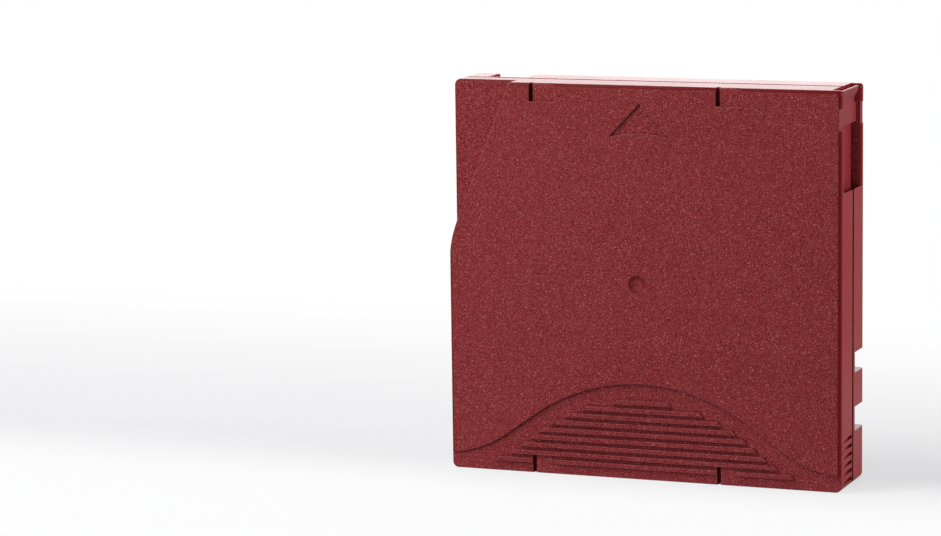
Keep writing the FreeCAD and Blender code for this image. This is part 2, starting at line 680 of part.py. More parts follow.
def finger_grip(body):
    """Bell-shaped recess whose ribs are left standing flush with the labelled face."""
    plan = sketch_on(body, "grip_plan", "XZ_Plane", FRONT)
    angle = size("grip_slope")
    across, fall = size("grip_crown") * sine(angle), size("grip_crown") * (1 - cosine(angle))
    crown_z = size("grip_top") - fall
    flank_x, flank_z = size("grip_flank") * cosine(angle), size("grip_flank") * sine(angle)
    foot_x, foot_z = size("grip_foot") * sine(angle), size("grip_foot") * (1 - cosine(angle))
    half = [across, across + flank_x, across + flank_x + foot_x]
    high = [crown_z, crown_z - flank_z, crown_z - flank_z - foot_z]
    beyond = half[2] + 2
    outline(plan, [
        (half[0], high[0], size("grip_crown"), 1), (-half[0], high[0]),
        (-half[1], high[1], size("grip_foot"), -1), (-half[2], high[2]),
        (-beyond, high[2]), (-beyond, as_size(-1)), (beyond, as_size(-1)), (beyond, high[2]),
        (half[2], high[2], size("grip_foot"), -1), (half[1], high[1]),
    ])
    lean, half_width = size("rib_slant"), size("rib_width") / 2
    for number in range(9):
        level = size("rib_first") + number * size("rib_pitch")
        reach = size("rib_half_%d" % (number + 1))
        low, high = level - half_width, level + half_width
        outline(plan, [(-reach - lean, low), (reach + lean, low), (reach - lean, high), (lean - reach, high)])
    cut_back(body, "grip_recess", plan, size("grip_depth"))


def arrow(body):
    plan = sketch_on(body, "arrow_plan", "XZ_Plane", FRONT)
    tip, half, axis = TOP - size("arrow_tip"), size("arrow_width") / 2, -size("arrow_aside")
    low = tip - size("arrow_length")
    outline(plan, [(axis, tip), (axis - half, low, size("arrow_arc"), -1), (axis + half, low)])
    cut_back(body, "arrow_recess", plan, size("arrow_depth"))


def dimple(body):
    plan = sketch_on(body, "dimple_plan", "XY_Plane", REEL_Z)
    rim, deep = size("dimple_radius"), size("dimple_depth")
    ball = (rim * rim + deep * deep) / (2 * deep)
    outline(plan, [
        (REEL_X, FRONT - 1), (REEL_X + rim, FRONT - 1), (REEL_X + rim, FRONT),
        (REEL_X + rim, FRONT, ball, 1), (REEL_X, FRONT + deep),
    ][:2] + [(REEL_X + rim, FRONT, ball, 1), (REEL_X, FRONT + deep)])
    axis = sketch_on(body, "dimple_axis", "XY_Plane", REEL_Z)
    line = axis.addGeometry(Part.LineSegment(V(REEL_X.value, FRONT.value, 0), V(REEL_X.value, 0, 0)))
    fix_point(axis, line, 1, REEL_X, FRONT)
    fix_point(axis, line, 2, REEL_X, as_size(0))
    groove = body.newObject("PartDesign::Groove", "gate_dimple")
    groove.Profile = plan
    groove.ReferenceAxis = (axis, ["Edge1"])
    groove.Angle = 360
    DOC.recompute()


def upper_shell():
    """Labelled half of the case: plate, walls, guide cross for the brake, posts and pin seat."""
    body = shell_blank("upper_shell", FRONT, size("parting_depth"), FRONT, True)
    room = sketch_on(body, "upper_room_plan", "XZ_Plane", PARTING)
    cavity_outline(room)
    cut_front(body, "upper_room", room, size("parting_depth") - size("step_depth") - size("step_plate"))
    deep = sketch_on(body, "upper_deep_plan", "XZ_Plane", PARTING)
    top_x, turn_x, turn_z, upright, low_z, radius, slope = step_boundary(size("step_plate"))
    high = TOP - size("end_wall")
    meet_x = turn_x + (high - turn_z) * slope
    wall_x = LEFT + size("left_wall")
    cosine_meet = (radius - (wall_x - upright)) / radius
    meet_z = low_z + radius * root(1 - cosine_meet * cosine_meet)
    outline(deep, [
        (wall_x, size("end_wall")), (SIDE_IN, size("end_wall")), (SIDE_IN, high), (meet_x, high),
        (turn_x, turn_z, radius, 1), (wall_x, meet_z),
    ])
    cut_front(body, "upper_deep_room", deep, size("parting_depth") - size("front_plate"))
    step = sketch_on(body, "step_plan", "XZ_Plane", FRONT)
    step_outline(step, as_size(0), as_size(2))
    floor = cut_back(body, "step", step, size("step_depth"))
    round_edges(body, "step_rounding", floor, size("step_fillet"), outer_step_edge)
    parting_groove(body, "upper", size("rebate_width"), True)
    door_opening(body, "upper", PARTING, size("parting_depth") - size("door_lip_front"), True)
    door_groove(body, "upper", UPPER_IN, size("door_groove"), True)
    sill_corner(body)
    relief(body, "upper", FRONT - 1, size("door_lip_front") + 2, size("relief_depth"), False)
    ramp_cuts(body, "leading_ramps", TOP - size("ramp_reach"), True)
    ramp_cuts(body, "rear_ramps", size("ramp_reach"), False)
    finger_grip(body)
    arrow(body)
    dimple(body)
    side_grips(body, "right_grip", RIGHT, 1)
    side_grips(body, "left_grip", LEFT, -1)
    guide_ribs(body, "upper", UPPER_IN, True)
    pin_seat(body, "upper", UPPER_IN - 0.1, True)
    posts = sketch_on(body, "upper_posts_plan", "XZ_Plane", PARTING)
    for x, z in post_sites():
        ring(posts, x, z, size("post_radius"))
    shallow = size("parting_depth") - size("step_depth") - size("step_plate")
    pad_front(body, "upper_posts", posts, shallow + 0.1)
    tall = sketch_on(body, "upper_tall_posts_plan", "XZ_Plane", PARTING - shallow)
    for x, z in post_sites()[:2] + post_sites()[3:]:
        ring(tall, x, z, size("post_radius"))
    pad_front(body, "upper_tall_posts", tall, PARTING - shallow - UPPER_IN + 0.1)
    holes = sketch_on(body, "upper_holes_plan", "XZ_Plane", PARTING)
    for x, z in post_sites():
        ring(holes, x, z, size("screw_radius"))
    cut_front(body, "upper_holes", holes, size("screw_bite") + 0.3)
    cross = sketch_on(body, "cross_plan", "XZ_Plane", UPPER_IN - 0.1)
    arm, thin = size("cross_half"), size("cross_wall") / 2
    outline(cross, [
        (REEL_X - arm, REEL_Z - thin), (REEL_X - thin, REEL_Z - thin), (REEL_X - thin, REEL_Z - arm),
        (REEL_X + thin, REEL_Z - arm), (REEL_X + thin, REEL_Z - thin), (REEL_X + arm, REEL_Z - thin),
        (REEL_X + arm, REEL_Z + thin), (REEL_X + thin, REEL_Z + thin), (REEL_X + thin, REEL_Z + arm),
        (REEL_X - thin, REEL_Z + arm), (REEL_X - thin, REEL_Z + thin), (REEL_X - arm, REEL_Z + thin),
    ])
    pad_back(body, "guide_cross", cross, size("cross_length") + 0.1)
    return body


def gripper_notches(body, name, edge, sign):
    """Two notches for a library's gripper, open to the drive face, with walls moulded round them."""
    start, wall = FRONT + size("notch_start"), size("notch_wall")
    lower, upper = size("notch_low"), size("notch_high")
    blocks = sketch_on(body, name + "_walls_plan", "XZ_Plane", start - wall)
    for low, high in ((lower, lower + size("notch_low_height")), (upper, upper + size("notch_high_height"))):
        inner = edge - sign * (size("notch_depth") + wall)
        outer = edge - sign * size("rebate_depth") * 2
        box_outline(blocks, *((inner, outer) if sign > 0 else (outer, inner)), low - wall, high + wall)
    pad_back(body, name + "_walls", blocks, LOWER_IN - start + wall + 0.1)
    cuts = sketch_on(body, name + "_plan", "XZ_Plane", start)
    for low, high in ((lower, lower + size("notch_low_height")), (upper, upper + size("notch_high_height"))):
        inner, outer = edge - sign * size("notch_depth"), edge + sign * 1.0
        box_outline(cuts, *((inner, outer) if sign > 0 else (outer, inner)), low, high)
    cut_back(body, name, cuts, BACK - start + 1)


def loading_notch(body):
    """Notch of the leading left corner, open to the drive face and the leading face."""
    x_low = LEFT + size("load_left")
    x_high = x_low + size("load_width")
    z_low = TOP - size("load_depth")
    wall = size("load_wall")
    block = sketch_on(body, "load_walls_plan", "XZ_Plane", PARTING)
    box_outline(block, x_low - wall, x_high + wall, z_low - wall, TOP - size("end_wall") / 2)
    pad_back(body, "load_walls", block, LOWER_IN - PARTING + 0.1)
    cut = sketch_on(body, "load_plan", "XZ_Plane", PARTING + wall)
    box_outline(cut, x_low, x_high, z_low, TOP + 1)
    cut_back(body, "loading_notch", cut, BACK - PARTING)


def write_window(body):
    """Window in the rear wall with the two rails that hold the write protect slide."""
    low = LEFT + size("tab_left")
    high = low + size("tab_window")
    back = BACK - size("tab_from_back")
    front = back - size("tab_height") - 2 * size("tab_gap")
    rim = size("tab_flange") + size("tab_gap")
    rail = size("tab_rail")
    floor = size("tab_inset") + size("tab_thickness") + size("tab_flange_thickness") + size("tab_gap")
    plan = sketch_on(body, "rails_plan", "XY_Plane", size("end_wall") / 2)
    box_outline(plan, low - rim, high + rim, front - rim - rail, LOWER_IN + 0.1)
    extrude(body, "Pad", "rails_block", plan, floor + rail - size("end_wall") / 2, False)
    track = sketch_on(body, "track_plan", "XY_Plane", size("tab_inset") + size("tab_thickness") - size("tab_gap"))
    box_outline(track, low - rim, high + rim, front - rim, back + rim)
    extrude(body, "Pocket", "track", track, size("tab_flange_thickness") + 2 * size("tab_gap"), True)
    window = sketch_on(body, "window_plan", "XY_Plane", as_size(-1))
    box_outline(window, low, high, front, back)
    extrude(body, "Pocket", "window", window, size("tab_inset") + size("tab_thickness") + 1, True)


def board_ribs(body):
    """Two ribs with slanting edges that the memory board rests on."""
    seat_y, seat_z = board_low_corner()
    gap = size("board_seat_gap") * root(as_size(2))
    top = size("board_width") / root(as_size(2))
    for number, inset in ((1, size("board_rib")), (2, size("board_length") - 2 * size("board_rib"))):
        plan = sketch_on(body, "board_rib_%d_plan" % number, "YZ_Plane", BOARD_X + inset)
        outline(plan, [
            (seat_y + gap, seat_z), (seat_y + gap + top, seat_z + top), (LOWER_IN + 0.1, seat_z + top),
            (LOWER_IN + 0.1, size("end_wall") / 2), (seat_y + gap, size("end_wall") / 2),
        ])
        extrude(body, "Pad", "board_rib_%d" % number, plan, size("board_rib"), False)


def board_low_corner():
    return BACK - size("board_back"), size("board_rear")


def lower_shell():
    """Drive half of the case: drive opening and its ring, notches, locating holes, screw seats."""
    body = shell_blank("lower_shell", PARTING, size("case_depth") - size("parting_depth"), BACK, True)
    room = sketch_on(body, "lower_room_plan", "XZ_Plane", PARTING)
    cavity_outline(room)
    cut_back(body, "lower_room", room, LOWER_IN - PARTING)
    parting_groove(body, "lower", size("rebate_lower"), False)
    ring_plan = sketch_on(body, "rest_ring_plan", "XZ_Plane", LOWER_IN + 0.1)
    ring(ring_plan, REEL_X, REEL_Z, size("hub_bore") + size("rest_ring_wall"))
    pad_front(body, "rest_ring", ring_plan, LOWER_IN + 0.1 - (REEL_BACK + size("reel_rest_gap")))
    bore = sketch_on(body, "drive_opening_plan", "XZ_Plane", REEL_BACK)
    ring(bore, REEL_X, REEL_Z, size("hub_bore"))
    cut_back(body, "drive_opening", bore, BACK - REEL_BACK + 1)
    gripper_notches(body, "right_notches", RIGHT, 1)
    gripper_notches(body, "left_notches", LEFT, -1)
    loading_notch(body)
    write_window(body)
    board_ribs(body)
    far_lip = BACK - size("door_lip_back")
    opening = door_opening(body, "lower", PARTING, far_lip - PARTING, False)
    round_edges(body, "far_lip_rounding", opening, size("door_lip_round"), far_lip_edge)
    door_groove(body, "lower", LOWER_IN - 1, size("door_groove") + 1, False)
    relief(body, "lower", PARTING, size("case_depth") - size("parting_depth") + 1,
           size("relief_back_depth"), False)
    guide_ribs(body, "lower", LOWER_IN, False)
    pin_seat(body, "lower", LOWER_IN + 0.1, False)
    posts = sketch_on(body, "lower_posts_plan", "XZ_Plane", LOWER_IN + 0.1)
    for x, z in post_sites():
        ring(posts, x, z, size("post_radius"))
    pad_front(body, "lower_posts", posts, LOWER_IN + 0.1 - PARTING - size("post_end"))
    holes = sketch_on(body, "lower_holes_plan", "XZ_Plane", BACK)
    for x, z in post_sites():
        ring(holes, x, z, size("screw_radius") + size("screw_hole_gap"))
    cut_front(body, "lower_holes", holes, BACK - PARTING)
    seats = sketch_on(body, "screw_seats_plan", "XZ_Plane", BACK)
    for x, z in post_sites():
        ring(seats, x, z, size("screw_head") + size("screw_hole_gap"))
    cut_front(body, "screw_seats", seats, size("screw_sink"))
    cups = sketch_on(body, "locating_cups_plan", "XZ_Plane", LOWER_IN + 0.1)
    for x, z in locating_sites():
        ring(cups, x, z, size("locate_radius") + size("locate_wall"))
    pad_front(body, "locating_cups", cups, size("locate_depth") + size("locate_wall") - size("back_plate") + 0.1)
    bores = sketch_on(body, "locating_holes_plan", "XZ_Plane", BACK)
    for x, z in locating_sites():
        ring(bores, x, z, size("locate_radius"))
    cut_front(body, "locating_holes", bores, size("locate_depth"))
    stop = sketch_on(body, "spring_stop_plan", "XY_Plane", size("door_spring_low") - size("door_spring_stop"))
    reach = size("door_spring_mean") + size("door_spring_wire")
    box_outline(stop, GUIDE_IN - size("door_spring_wire"), SIDE_IN, -reach, LOWER_IN + 0.1)
    extrude(body, "Pad", "spring_stop", stop, size("door_spring_stop"), False)
    return body


def locating_sites():
    return [
        (LEFT + size("locate_from_left"), TOP - size("locate_top_left")),
        (RIGHT - size("locate_from_right"), TOP - size("locate_top_right")),
    ]


def case_screws():
    """Four identical screws that hold the shells together from the drive side."""
    screws = []
    seat = SCREW_SEAT
    for number, (x, z) in enumerate(post_sites(), start=1):
        shank = DOC.addObject("Part::Cylinder", "screw_shank_%d" % number)
        head = DOC.addObject("Part::Cylinder", "screw_head_%d" % number)
        recess = DOC.addObject("Part::Box", "screw_drive_%d" % number)
        shank.setExpression("Radius", size("screw_radius").text)
        shank.setExpression("Height", (SCREW_LENGTH + 0.1).text)
        head.setExpression("Radius", size("screw_head").text)
        head.setExpression("Height", size("screw_head_height").text)
        for item, depth in ((shank, seat + 0.1), (head, seat + size("screw_head_height"))):
            item.Placement = FreeCAD.Placement(V(0, 0, 0), FreeCAD.Rotation(V(1, 0, 0), 90))
            item.setExpression("Placement.Base.x", x.text)
            item.setExpression("Placement.Base.y", depth.text)
            item.setExpression("Placement.Base.z", z.text)
        slot = size("screw_head") * 1.1
        for side, span in (("Length", slot), ("Width", size("screw_head_height") / 2 + 0.5), ("Height", slot / 4)):
            recess.setExpression(side, span.text)
        recess.setExpression("Placement.Base.x", (x - slot / 2).text)
        recess.setExpression("Placement.Base.y", (seat + size("screw_head_height") / 2).text)
        recess.setExpression("Placement.Base.z", (z - slot / 8).text)
        joined = DOC.addObject("Part::Fuse", "screw_blank_%d" % number)
        joined.Base = shank
        joined.Tool = head
        screw = DOC.addObject("Part::Cut", "screw_%d" % number)
        screw.Base = joined
        screw.Tool = recess
        screws.append(screw)
    group = DOC.addObject("Part::Compound", "case_screws")
    group.Links = screws
    return group


def slide_door():
    """Sliding door: plate in the grooves, raised tab, and a face that leans out to the bar."""
    body = new_body("slide_door")
    front = UPPER_IN - size("door_groove") + size("door_edge_gap")
    back = LOWER_IN + size("door_groove") - size("door_edge_gap")
    plate = sketch_on(body, "door_plan", "XZ_Plane", front)
    box_outline(plate, DOOR_IN, DOOR_OUT, DOOR_LOW, TOP - size("end_wall") - size("door_edge_gap"))
    pad_back(body, "door_plate", plate, back - front)
    inside = FRONT + size("door_lip_front") + size("door_edge_gap")
    outside = BACK - size("door_lip_back") - size("door_edge_gap")
    tab_face = DOOR_OUT + size("door_tab_rise")
    tab_top = TAB_LOW + size("door_tab_height")
    tab = sketch_on(body, "door_tab_plan", "XZ_Plane", inside)
    box_outline(tab, DOOR_OUT - 0.1, tab_face, TAB_LOW, tab_top)
    pad_back(body, "door_tab", tab, outside - inside)
    lip_front = FRONT + size("door_bar_front")
    lip_back = BACK - size("door_bar_back")
    bar_out = RIGHT - size("door_edge_gap")
    under_wall = TOP - size("end_wall") - size("door_edge_gap") * 2
    bar_low = DOOR_TOP - size("door_bar_face")
    pocket = DOOR_TOP - size("door_pocket")
    lip = sketch_on(body, "door_lip_plan", "XZ_Plane", lip_front)
    outline(lip, [
        (DOOR_OUT - 0.1, tab_top - 0.1), (tab_face, tab_top - 0.1), (tab_face, bar_low - size("door_flare")),
        (bar_out, bar_low), (bar_out, DOOR_TOP), (bar_out - size("door_bar"), DOOR_TOP),
        (bar_out - size("door_bar"), pocket), (DOOR_OUT, pocket), (DOOR_OUT, under_wall),
        (DOOR_OUT - 0.1, under_wall),
    ])
    pad_back(body, "door_lip", lip, lip_back - lip_front)
    return body


def coil(name, low, height, mean, wire, turns, axis_x, axis_y, upright):
    """Open coil spring: polygonal sections of the wire lofted along a helix.

    Upright springs run along Z, the others along Y.
    """
    rise = (height - wire).value
    count, steps, sides = turns.value, int(size("coil_steps").value), int(size("wire_sides").value)
    stations = int(round(count * steps))
    sections = []
    for number in range(stations + 1):
        angle = 2 * math.pi * count * number / stations
        out = V(math.cos(angle), math.sin(angle), 0)
        centre = out * mean.value + V(0, 0, rise * number / stations)
        corners = []
        for corner in range(sides + 1):
            turn = 2 * math.pi * corner / sides
            corners.append(centre + (out * math.cos(turn) + V(0, 0, 1) * math.sin(turn)) * wire.value / 2)
        corners[-1] = corners[0]
        sections.append(Part.makePolygon(corners))
    spring = DOC.addObject("Part::Feature", name)
    spring.Shape = Part.makeLoft(sections, True, True)
    turn = FreeCAD.Rotation() if upright else FreeCAD.Rotation(V(1, 0, 0), -90)
    start = (low + wire / 2).value
    base = V(axis_x.value, axis_y.value, start) if upright else V(axis_x.value, start, axis_y.value)
    spring.Placement = FreeCAD.Placement(base, turn)
    return spring


def reel_hub():
    """Hub with its lower flange, brake teeth inside, driven teeth and clutch seat outside."""
    body = new_body("reel_hub")
    flange = sketch_on(body, "lower_flange_plan", "XZ_Plane", LOWER_FLANGE)
    ring(flange, REEL_X, REEL_Z, FLANGE)
    pad_back(body, "lower_flange", flange, size("flange_thickness"))
    barrel = sketch_on(body, "hub_plan", "XZ_Plane", HUB_FRONT)
    ring(barrel, REEL_X, REEL_Z, size("hub_radius"))
    pad_back(body, "hub_barrel", barrel, LOWER_FLANGE - HUB_FRONT + 0.1)
    boss = sketch_on(body, "hub_end_plan", "XZ_Plane", REEL_BACK - 0.1)
    ring(boss, REEL_X, REEL_Z, size("hub_bore") - size("bore_gap"))
    pad_back(body, "hub_end", boss, size("hub_rise") + 0.1)
    room = sketch_on(body, "hub_room_plan", "XZ_Plane", HUB_FRONT)
    ring(room, REEL_X, REEL_Z, size("hub_radius") - size("hub_wall"))
    cut_back(body, "hub_room", room, WEB_IN - HUB_FRONT)
    crown = sketch_on(body, "tooth_ring_plan", "XZ_Plane", WEB_IN + 0.1)
    ring(crown, REEL_X, REEL_Z, size("brake_tooth_out") + size("mesh_gap"))
    ring(crown, REEL_X, REEL_Z, size("brake_tooth_in") - size("mesh_gap"))
    pad_front(body, "tooth_ring", crown, TOOTH_RING + 0.1)
    pocket_teeth(body, "brake_mesh", "XY_Plane")
    driven_teeth(body)
    seat = sketch_on(body, "clutch_seat_plan", "XZ_Plane", HUB_BACK)
    ring(seat, REEL_X, REEL_Z, size("plate_out") + size("plate_gap"))
    cut_front(body, "clutch_seat", seat, size("plate_inset") + size("plate_thickness"))
    legs = sketch_on(body, "leg_holes_plan", "XZ_Plane", WEB_IN)
    for x, z in leg_sites():
        ring(legs, x, z, size("leg_radius") + size("leg_gap"))
    cut_back(body, "leg_holes", legs, HUB_BACK - WEB_IN)
    return body


def leg_sites():
    reach = size("leg_circle")
    half, side = reach / 2, reach * root(as_size(0.75))
    return [(REEL_X, REEL_Z + reach), (REEL_X - side, REEL_Z - half), (REEL_X + side, REEL_Z - half)]


def turned(body, feature, name, axis_x, axis_z):
    """Polar pattern about the reel axis, one copy for each tooth."""
    axis = sketch_on(body, name + "_axis", "XY_Plane", axis_z)
    line = axis.addGeometry(Part.LineSegment(V(axis_x.value, 0, 0), V(axis_x.value, 9, 0)))
    fix_point(axis, line, 1, axis_x, as_size(0))
    fix_point(axis, line, 2, axis_x, as_size(9))
    pattern = body.newObject("PartDesign::PolarPattern", name)
    pattern.Originals = [feature]
    pattern.Axis = (axis, ["Edge1"])
    pattern.Angle = 360
    pattern.Occurrences = int(size("tooth_count").value)
    pattern.setExpression("Occurrences", size("tooth_count").text)
    body.Tip = pattern
    DOC.recompute()
    return pattern


def tooth_outline(sketch, root_depth, tip_depth, half_root, half_tip):
    """Tooth or gap seen along the radius, on a YZ plane: Y is depth, Z runs along the ring."""
    outline(sketch, [
        (root_depth, REEL_Z - half_root), (tip_depth, REEL_Z - half_tip),
        (tip_depth, REEL_Z + half_tip), (root_depth, REEL_Z + half_root),
    ])


def pocket_teeth(body, name, role):
    """Gaps between the hub's brake teeth, wider than the brake's teeth by the mesh gap."""
    gap = size("mesh_gap")
    low = size("brake_tooth_in") - 3 * gap
    plan = sketch_on(body, name + "_plan", "YZ_Plane", REEL_X + low)
    slope = (size("brake_tooth_base") - size("brake_tooth_tip")) / (2 * size("brake_tooth_height"))
    floor = BRAKE_FACE + size("brake_tooth_height") + gap
    mouth = TOOTH_TOP - 0.2
    half_floor = size("brake_tooth_tip") / 2 + gap - slope * gap
    half_mouth = half_floor + slope * (floor - mouth)
    tooth_outline(plan, mouth, floor, half_mouth, half_floor)
    cut = extrude(body, "Pocket", name + "_gap", plan, size("brake_tooth_out") - low + 4 * gap, True)
    turned(body, cut, name, REEL_X, REEL_Z)


def driven_teeth(body):
    """Radial grooves in the rim of the hub's driven face."""
    low = size("drive_tooth_in")
    plan = sketch_on(body, "driven_plan", "YZ_Plane", REEL_X + low)
    half = size("drive_tooth_width") / 2
    tooth_outline(plan, HUB_BACK + 0.2, HUB_BACK - size("drive_tooth_depth"), half * 1.1, half * 0.5)
    cut = extrude(body, "Pocket", "driven_gap", plan, size("hub_bore") - low, True)
    turned(body, cut, "driven_teeth", REEL_X, REEL_Z)


def reel_flange():
    """Upper flange, welded to the hub by the ring that sits in the hub's bore."""
    body = new_body("reel_flange")
    disc = sketch_on(body, "upper_flange_plan", "XZ_Plane", FLANGE_FRONT)
    bore = size("hub_radius") - size("hub_wall") - size("weld_gap")
    ring(disc, REEL_X, REEL_Z, FLANGE)
    ring(disc, REEL_X, REEL_Z, bore - size("flange_lip_wall"))
    pad_back(body, "upper_flange", disc, size("flange_thickness"))
    lip = sketch_on(body, "flange_lip_plan", "XZ_Plane", HUB_FRONT - 0.1)
    ring(lip, REEL_X, REEL_Z, bore)
    ring(lip, REEL_X, REEL_Z, bore - size("flange_lip_wall"))
    pad_back(body, "flange_ring", lip, size("flange_lip") + 0.1)
    return body


def clutch_plate():
    """Steel ring that the drive's magnet holds, set into the hub's driven face."""
    body = new_body("clutch_plate")
    plan = sketch_on(body, "clutch_plan", "XZ_Plane", HUB_BACK - size("plate_inset") - size("plate_thickness"))
    ring(plan, REEL_X, REEL_Z, size("plate_out"))
    ring(plan, REEL_X, REEL_Z, size("plate_in"))
    for x, z in leg_sites():
        ring(plan, x, z, size("leg_radius") + size("leg_gap"))
    pad_back(body, "clutch_disc", plan, size("plate_thickness"))
    return body


def reel_brake():
    """Toothed disc on a post whose cross slot keeps it from turning in the case."""
    body = new_body("reel_brake")
    disc = sketch_on(body, "brake_plan", "XZ_Plane", BRAKE_BACK)
    ring(disc, REEL_X, REEL_Z, size("brake_tooth_out") + size("mesh_gap"))
    pad_back(body, "brake_plate", disc, size("brake_disc"))
    post = sketch_on(body, "brake_post_plan", "XZ_Plane", POST_TOP)
    ring(post, REEL_X, REEL_Z, size("brake_post"))
    pad_back(body, "brake_post_pad", post, BRAKE_BACK - POST_TOP + 0.1)
    slot = sketch_on(body, "cross_slot_plan", "XZ_Plane", POST_TOP)
    arm = size("cross_half") + size("cross_gap")
    thin = size("cross_wall") / 2 + size("cross_gap")
    outline(slot, [
        (REEL_X - arm, REEL_Z - thin), (REEL_X - thin, REEL_Z - thin), (REEL_X - thin, REEL_Z - arm),
        (REEL_X + thin, REEL_Z - arm), (REEL_X + thin, REEL_Z - thin), (REEL_X + arm, REEL_Z - thin),
        (REEL_X + arm, REEL_Z + thin), (REEL_X + thin, REEL_Z + thin), (REEL_X + thin, REEL_Z + arm),
        (REEL_X - thin, REEL_Z + arm), (REEL_X - thin, REEL_Z + thin), (REEL_X - arm, REEL_Z + thin),
    ])
    cut_back(body, "cross_slot", slot, CROSS_END + size("brake_lift") + size("brake_top_gap") - POST_TOP)
    tooth = sketch_on(body, "brake_tooth_plan", "YZ_Plane", REEL_X + size("brake_tooth_in"))
    half_root, half_tip = size("brake_tooth_base") / 2, size("brake_tooth_tip") / 2
    tooth_outline(tooth, BRAKE_FACE - 0.1, BRAKE_FACE + size("brake_tooth_height"), half_root, half_tip)
    length = size("brake_tooth_out") - size("brake_tooth_in")
    one = extrude(body, "Pad", "brake_tooth", tooth, length, False)
    turned(body, one, "brake_teeth", REEL_X, REEL_Z)
    return body


def release_pad():
    """Disc under the brake whose three legs reach the drive through the hub."""
    body = new_body("release_pad")
    plan = sketch_on(body, "pad_plan", "XZ_Plane", PAD_FRONT)
    ring(plan, REEL_X, REEL_Z, size("pad_radius"))
    ring(plan, REEL_X, REEL_Z, size("pad_radius") / 3)
    pad_back(body, "pad_disc", plan, smaller(size("pad_thickness"), WEB_IN - PAD_FRONT))
    legs = sketch_on(body, "legs_plan", "XZ_Plane", PAD_FRONT + 0.1)
    for x, z in leg_sites():
        ring(legs, x, z, size("leg_radius"))
    pad_back(body, "legs", legs, HUB_BACK - size("plate_inset") - PAD_FRONT - 0.1)
    return body


def tape_pack():
    """Wound tape between the flanges."""
    body = new_body("tape_pack")
    plan = sketch_on(body, "pack_plan", "XZ_Plane", TAPE_FRONT)
    ring(plan, REEL_X, REEL_Z, FLANGE - size("tape_margin"))
    ring(plan, REEL_X, REEL_Z, size("hub_radius"))
    pad_back(body, "pack", plan, size("tape_width"))
    return body


def tape_leader():
    """End of the tape, from the pack's door side straight to the clamp on the leader pin."""
    body = new_body("tape_leader")
    plan = sketch_on(body, "leader_plan", "XZ_Plane", TAPE_FRONT)
    radius = FLANGE - size("tape_margin") + size("tape_gap") * 2
    across, rise = PIN_X - REEL_X, PIN_Z - REEL_Z
    reach = across * across + rise * rise
    run = root(reach - radius * radius)
    start_x = REEL_X + (radius * radius * across + radius * run * rise) / reach
    start_z = REEL_Z + (radius * radius * rise - radius * run * across) / reach
    along_x, along_z = (PIN_X - start_x) / run, (PIN_Z - start_z) / run
    end = run - size("clamp_radius") - size("clamp_gap")
    thick = size("tape_lead_thickness")
    outline(plan, [
        (start_x, start_z), (start_x + along_x * end, start_z + along_z * end),
        (start_x + along_x * end + along_z * thick, start_z + along_z * end - along_x * thick),
        (start_x + along_z * thick, start_z - along_x * thick),
    ])
    pad_back(body, "leader", plan, size("tape_width"))
    return body


def leader_pin():
    """Steel pin with a collar at each end, drawn out by the drive."""
    body = new_body("leader_pin")
    shaft = sketch_on(body, "pin_plan", "XZ_Plane", PIN_FRONT)
    ring(shaft, PIN_X, PIN_Z, size("pin_radius"))
    pad_back(body, "pin_shaft", shaft, PIN_BACK - PIN_FRONT)
    for name, start in (("front", PIN_FRONT), ("back", PIN_BACK - size("pin_head_thickness"))):
        collar = sketch_on(body, "collar_%s_plan" % name, "XZ_Plane", start)
        ring(collar, PIN_X, PIN_Z, size("pin_head"))
        pad_back(body, "collar_" + name, collar, size("pin_head_thickness"))
    return body


def pin_clamp():
    """Moulded sleeve that grips the tape's end on the pin."""
    body = new_body("pin_clamp")
    plan = sketch_on(body, "clamp_plan", "XZ_Plane", TAPE_FRONT)
    ring(plan, PIN_X, PIN_Z, size("clamp_radius"))
    ring(plan, PIN_X, PIN_Z, size("pin_radius") + size("clamp_gap"))
    pad_back(body, "clamp", plan, size("tape_width"))
    return body


def pin_retaining_spring():
    """Bent strip: a back along the case and an arm over each collar of the pin."""
    body = new_body("pin_retaining_spring")
    thick = size("clip_thickness")
    low = PIN_Z + size("pin_head") + size("clamp_gap")
    x_low = PIN_X - size("clip_back")
    front = PIN_FRONT + size("pin_seat_gap")
    back = PIN_BACK - size("pin_seat_gap")
    arm = size("pin_head_thickness")
    plan = sketch_on(body, "clip_plan", "XY_Plane", low)
    outline(plan, [
        (x_low, front), (PIN_X + size("clip_reach"), front), (PIN_X + size("clip_reach"), front + arm),
        (x_low + size("clip_width") / 2, front + arm), (x_low + size("clip_width") / 2, back - arm),
        (PIN_X + size("clip_reach"), back - arm), (PIN_X + size("clip_reach"), back), (x_low, back),
    ])
    extrude(body, "Pad", "clip", plan, thick, False)
    return body


def write_protect_tab():
    """Slide in the rear wall, with runners inside the wall and a groove for a fingernail."""
    body = new_body("write_protect_tab")
    x_low = LEFT + size("tab_left") + size("tab_gap")
    back = BACK - size("tab_from_back") - size("tab_gap")
    front = back - size("tab_height")
    x_high = x_low + size("tab_length")
    rim = size("tab_flange")
    face = sketch_on(body, "tab_face_plan", "XY_Plane", size("tab_inset"))
    box_outline(face, x_low, x_high, front, back)
    extrude(body, "Pad", "tab_face", face, size("tab_thickness") + 0.1, False)
    runner = sketch_on(body, "tab_runner_plan", "XY_Plane", size("tab_inset") + size("tab_thickness"))
    box_outline(runner, x_low, x_high, front - rim, back + rim)
    extrude(body, "Pad", "tab_runner", runner, size("tab_flange_thickness"), False)
    nail = sketch_on(body, "tab_groove_plan", "XY_Plane", size("tab_inset"))
    middle = (x_low + x_high) / 2
    box_outline(nail, middle - size("tab_grip"), middle + size("tab_grip"), front - 0.5, back + 0.5)
    extrude(body, "Pocket", "tab_groove", nail, size("tab_grip"), True)
    return body


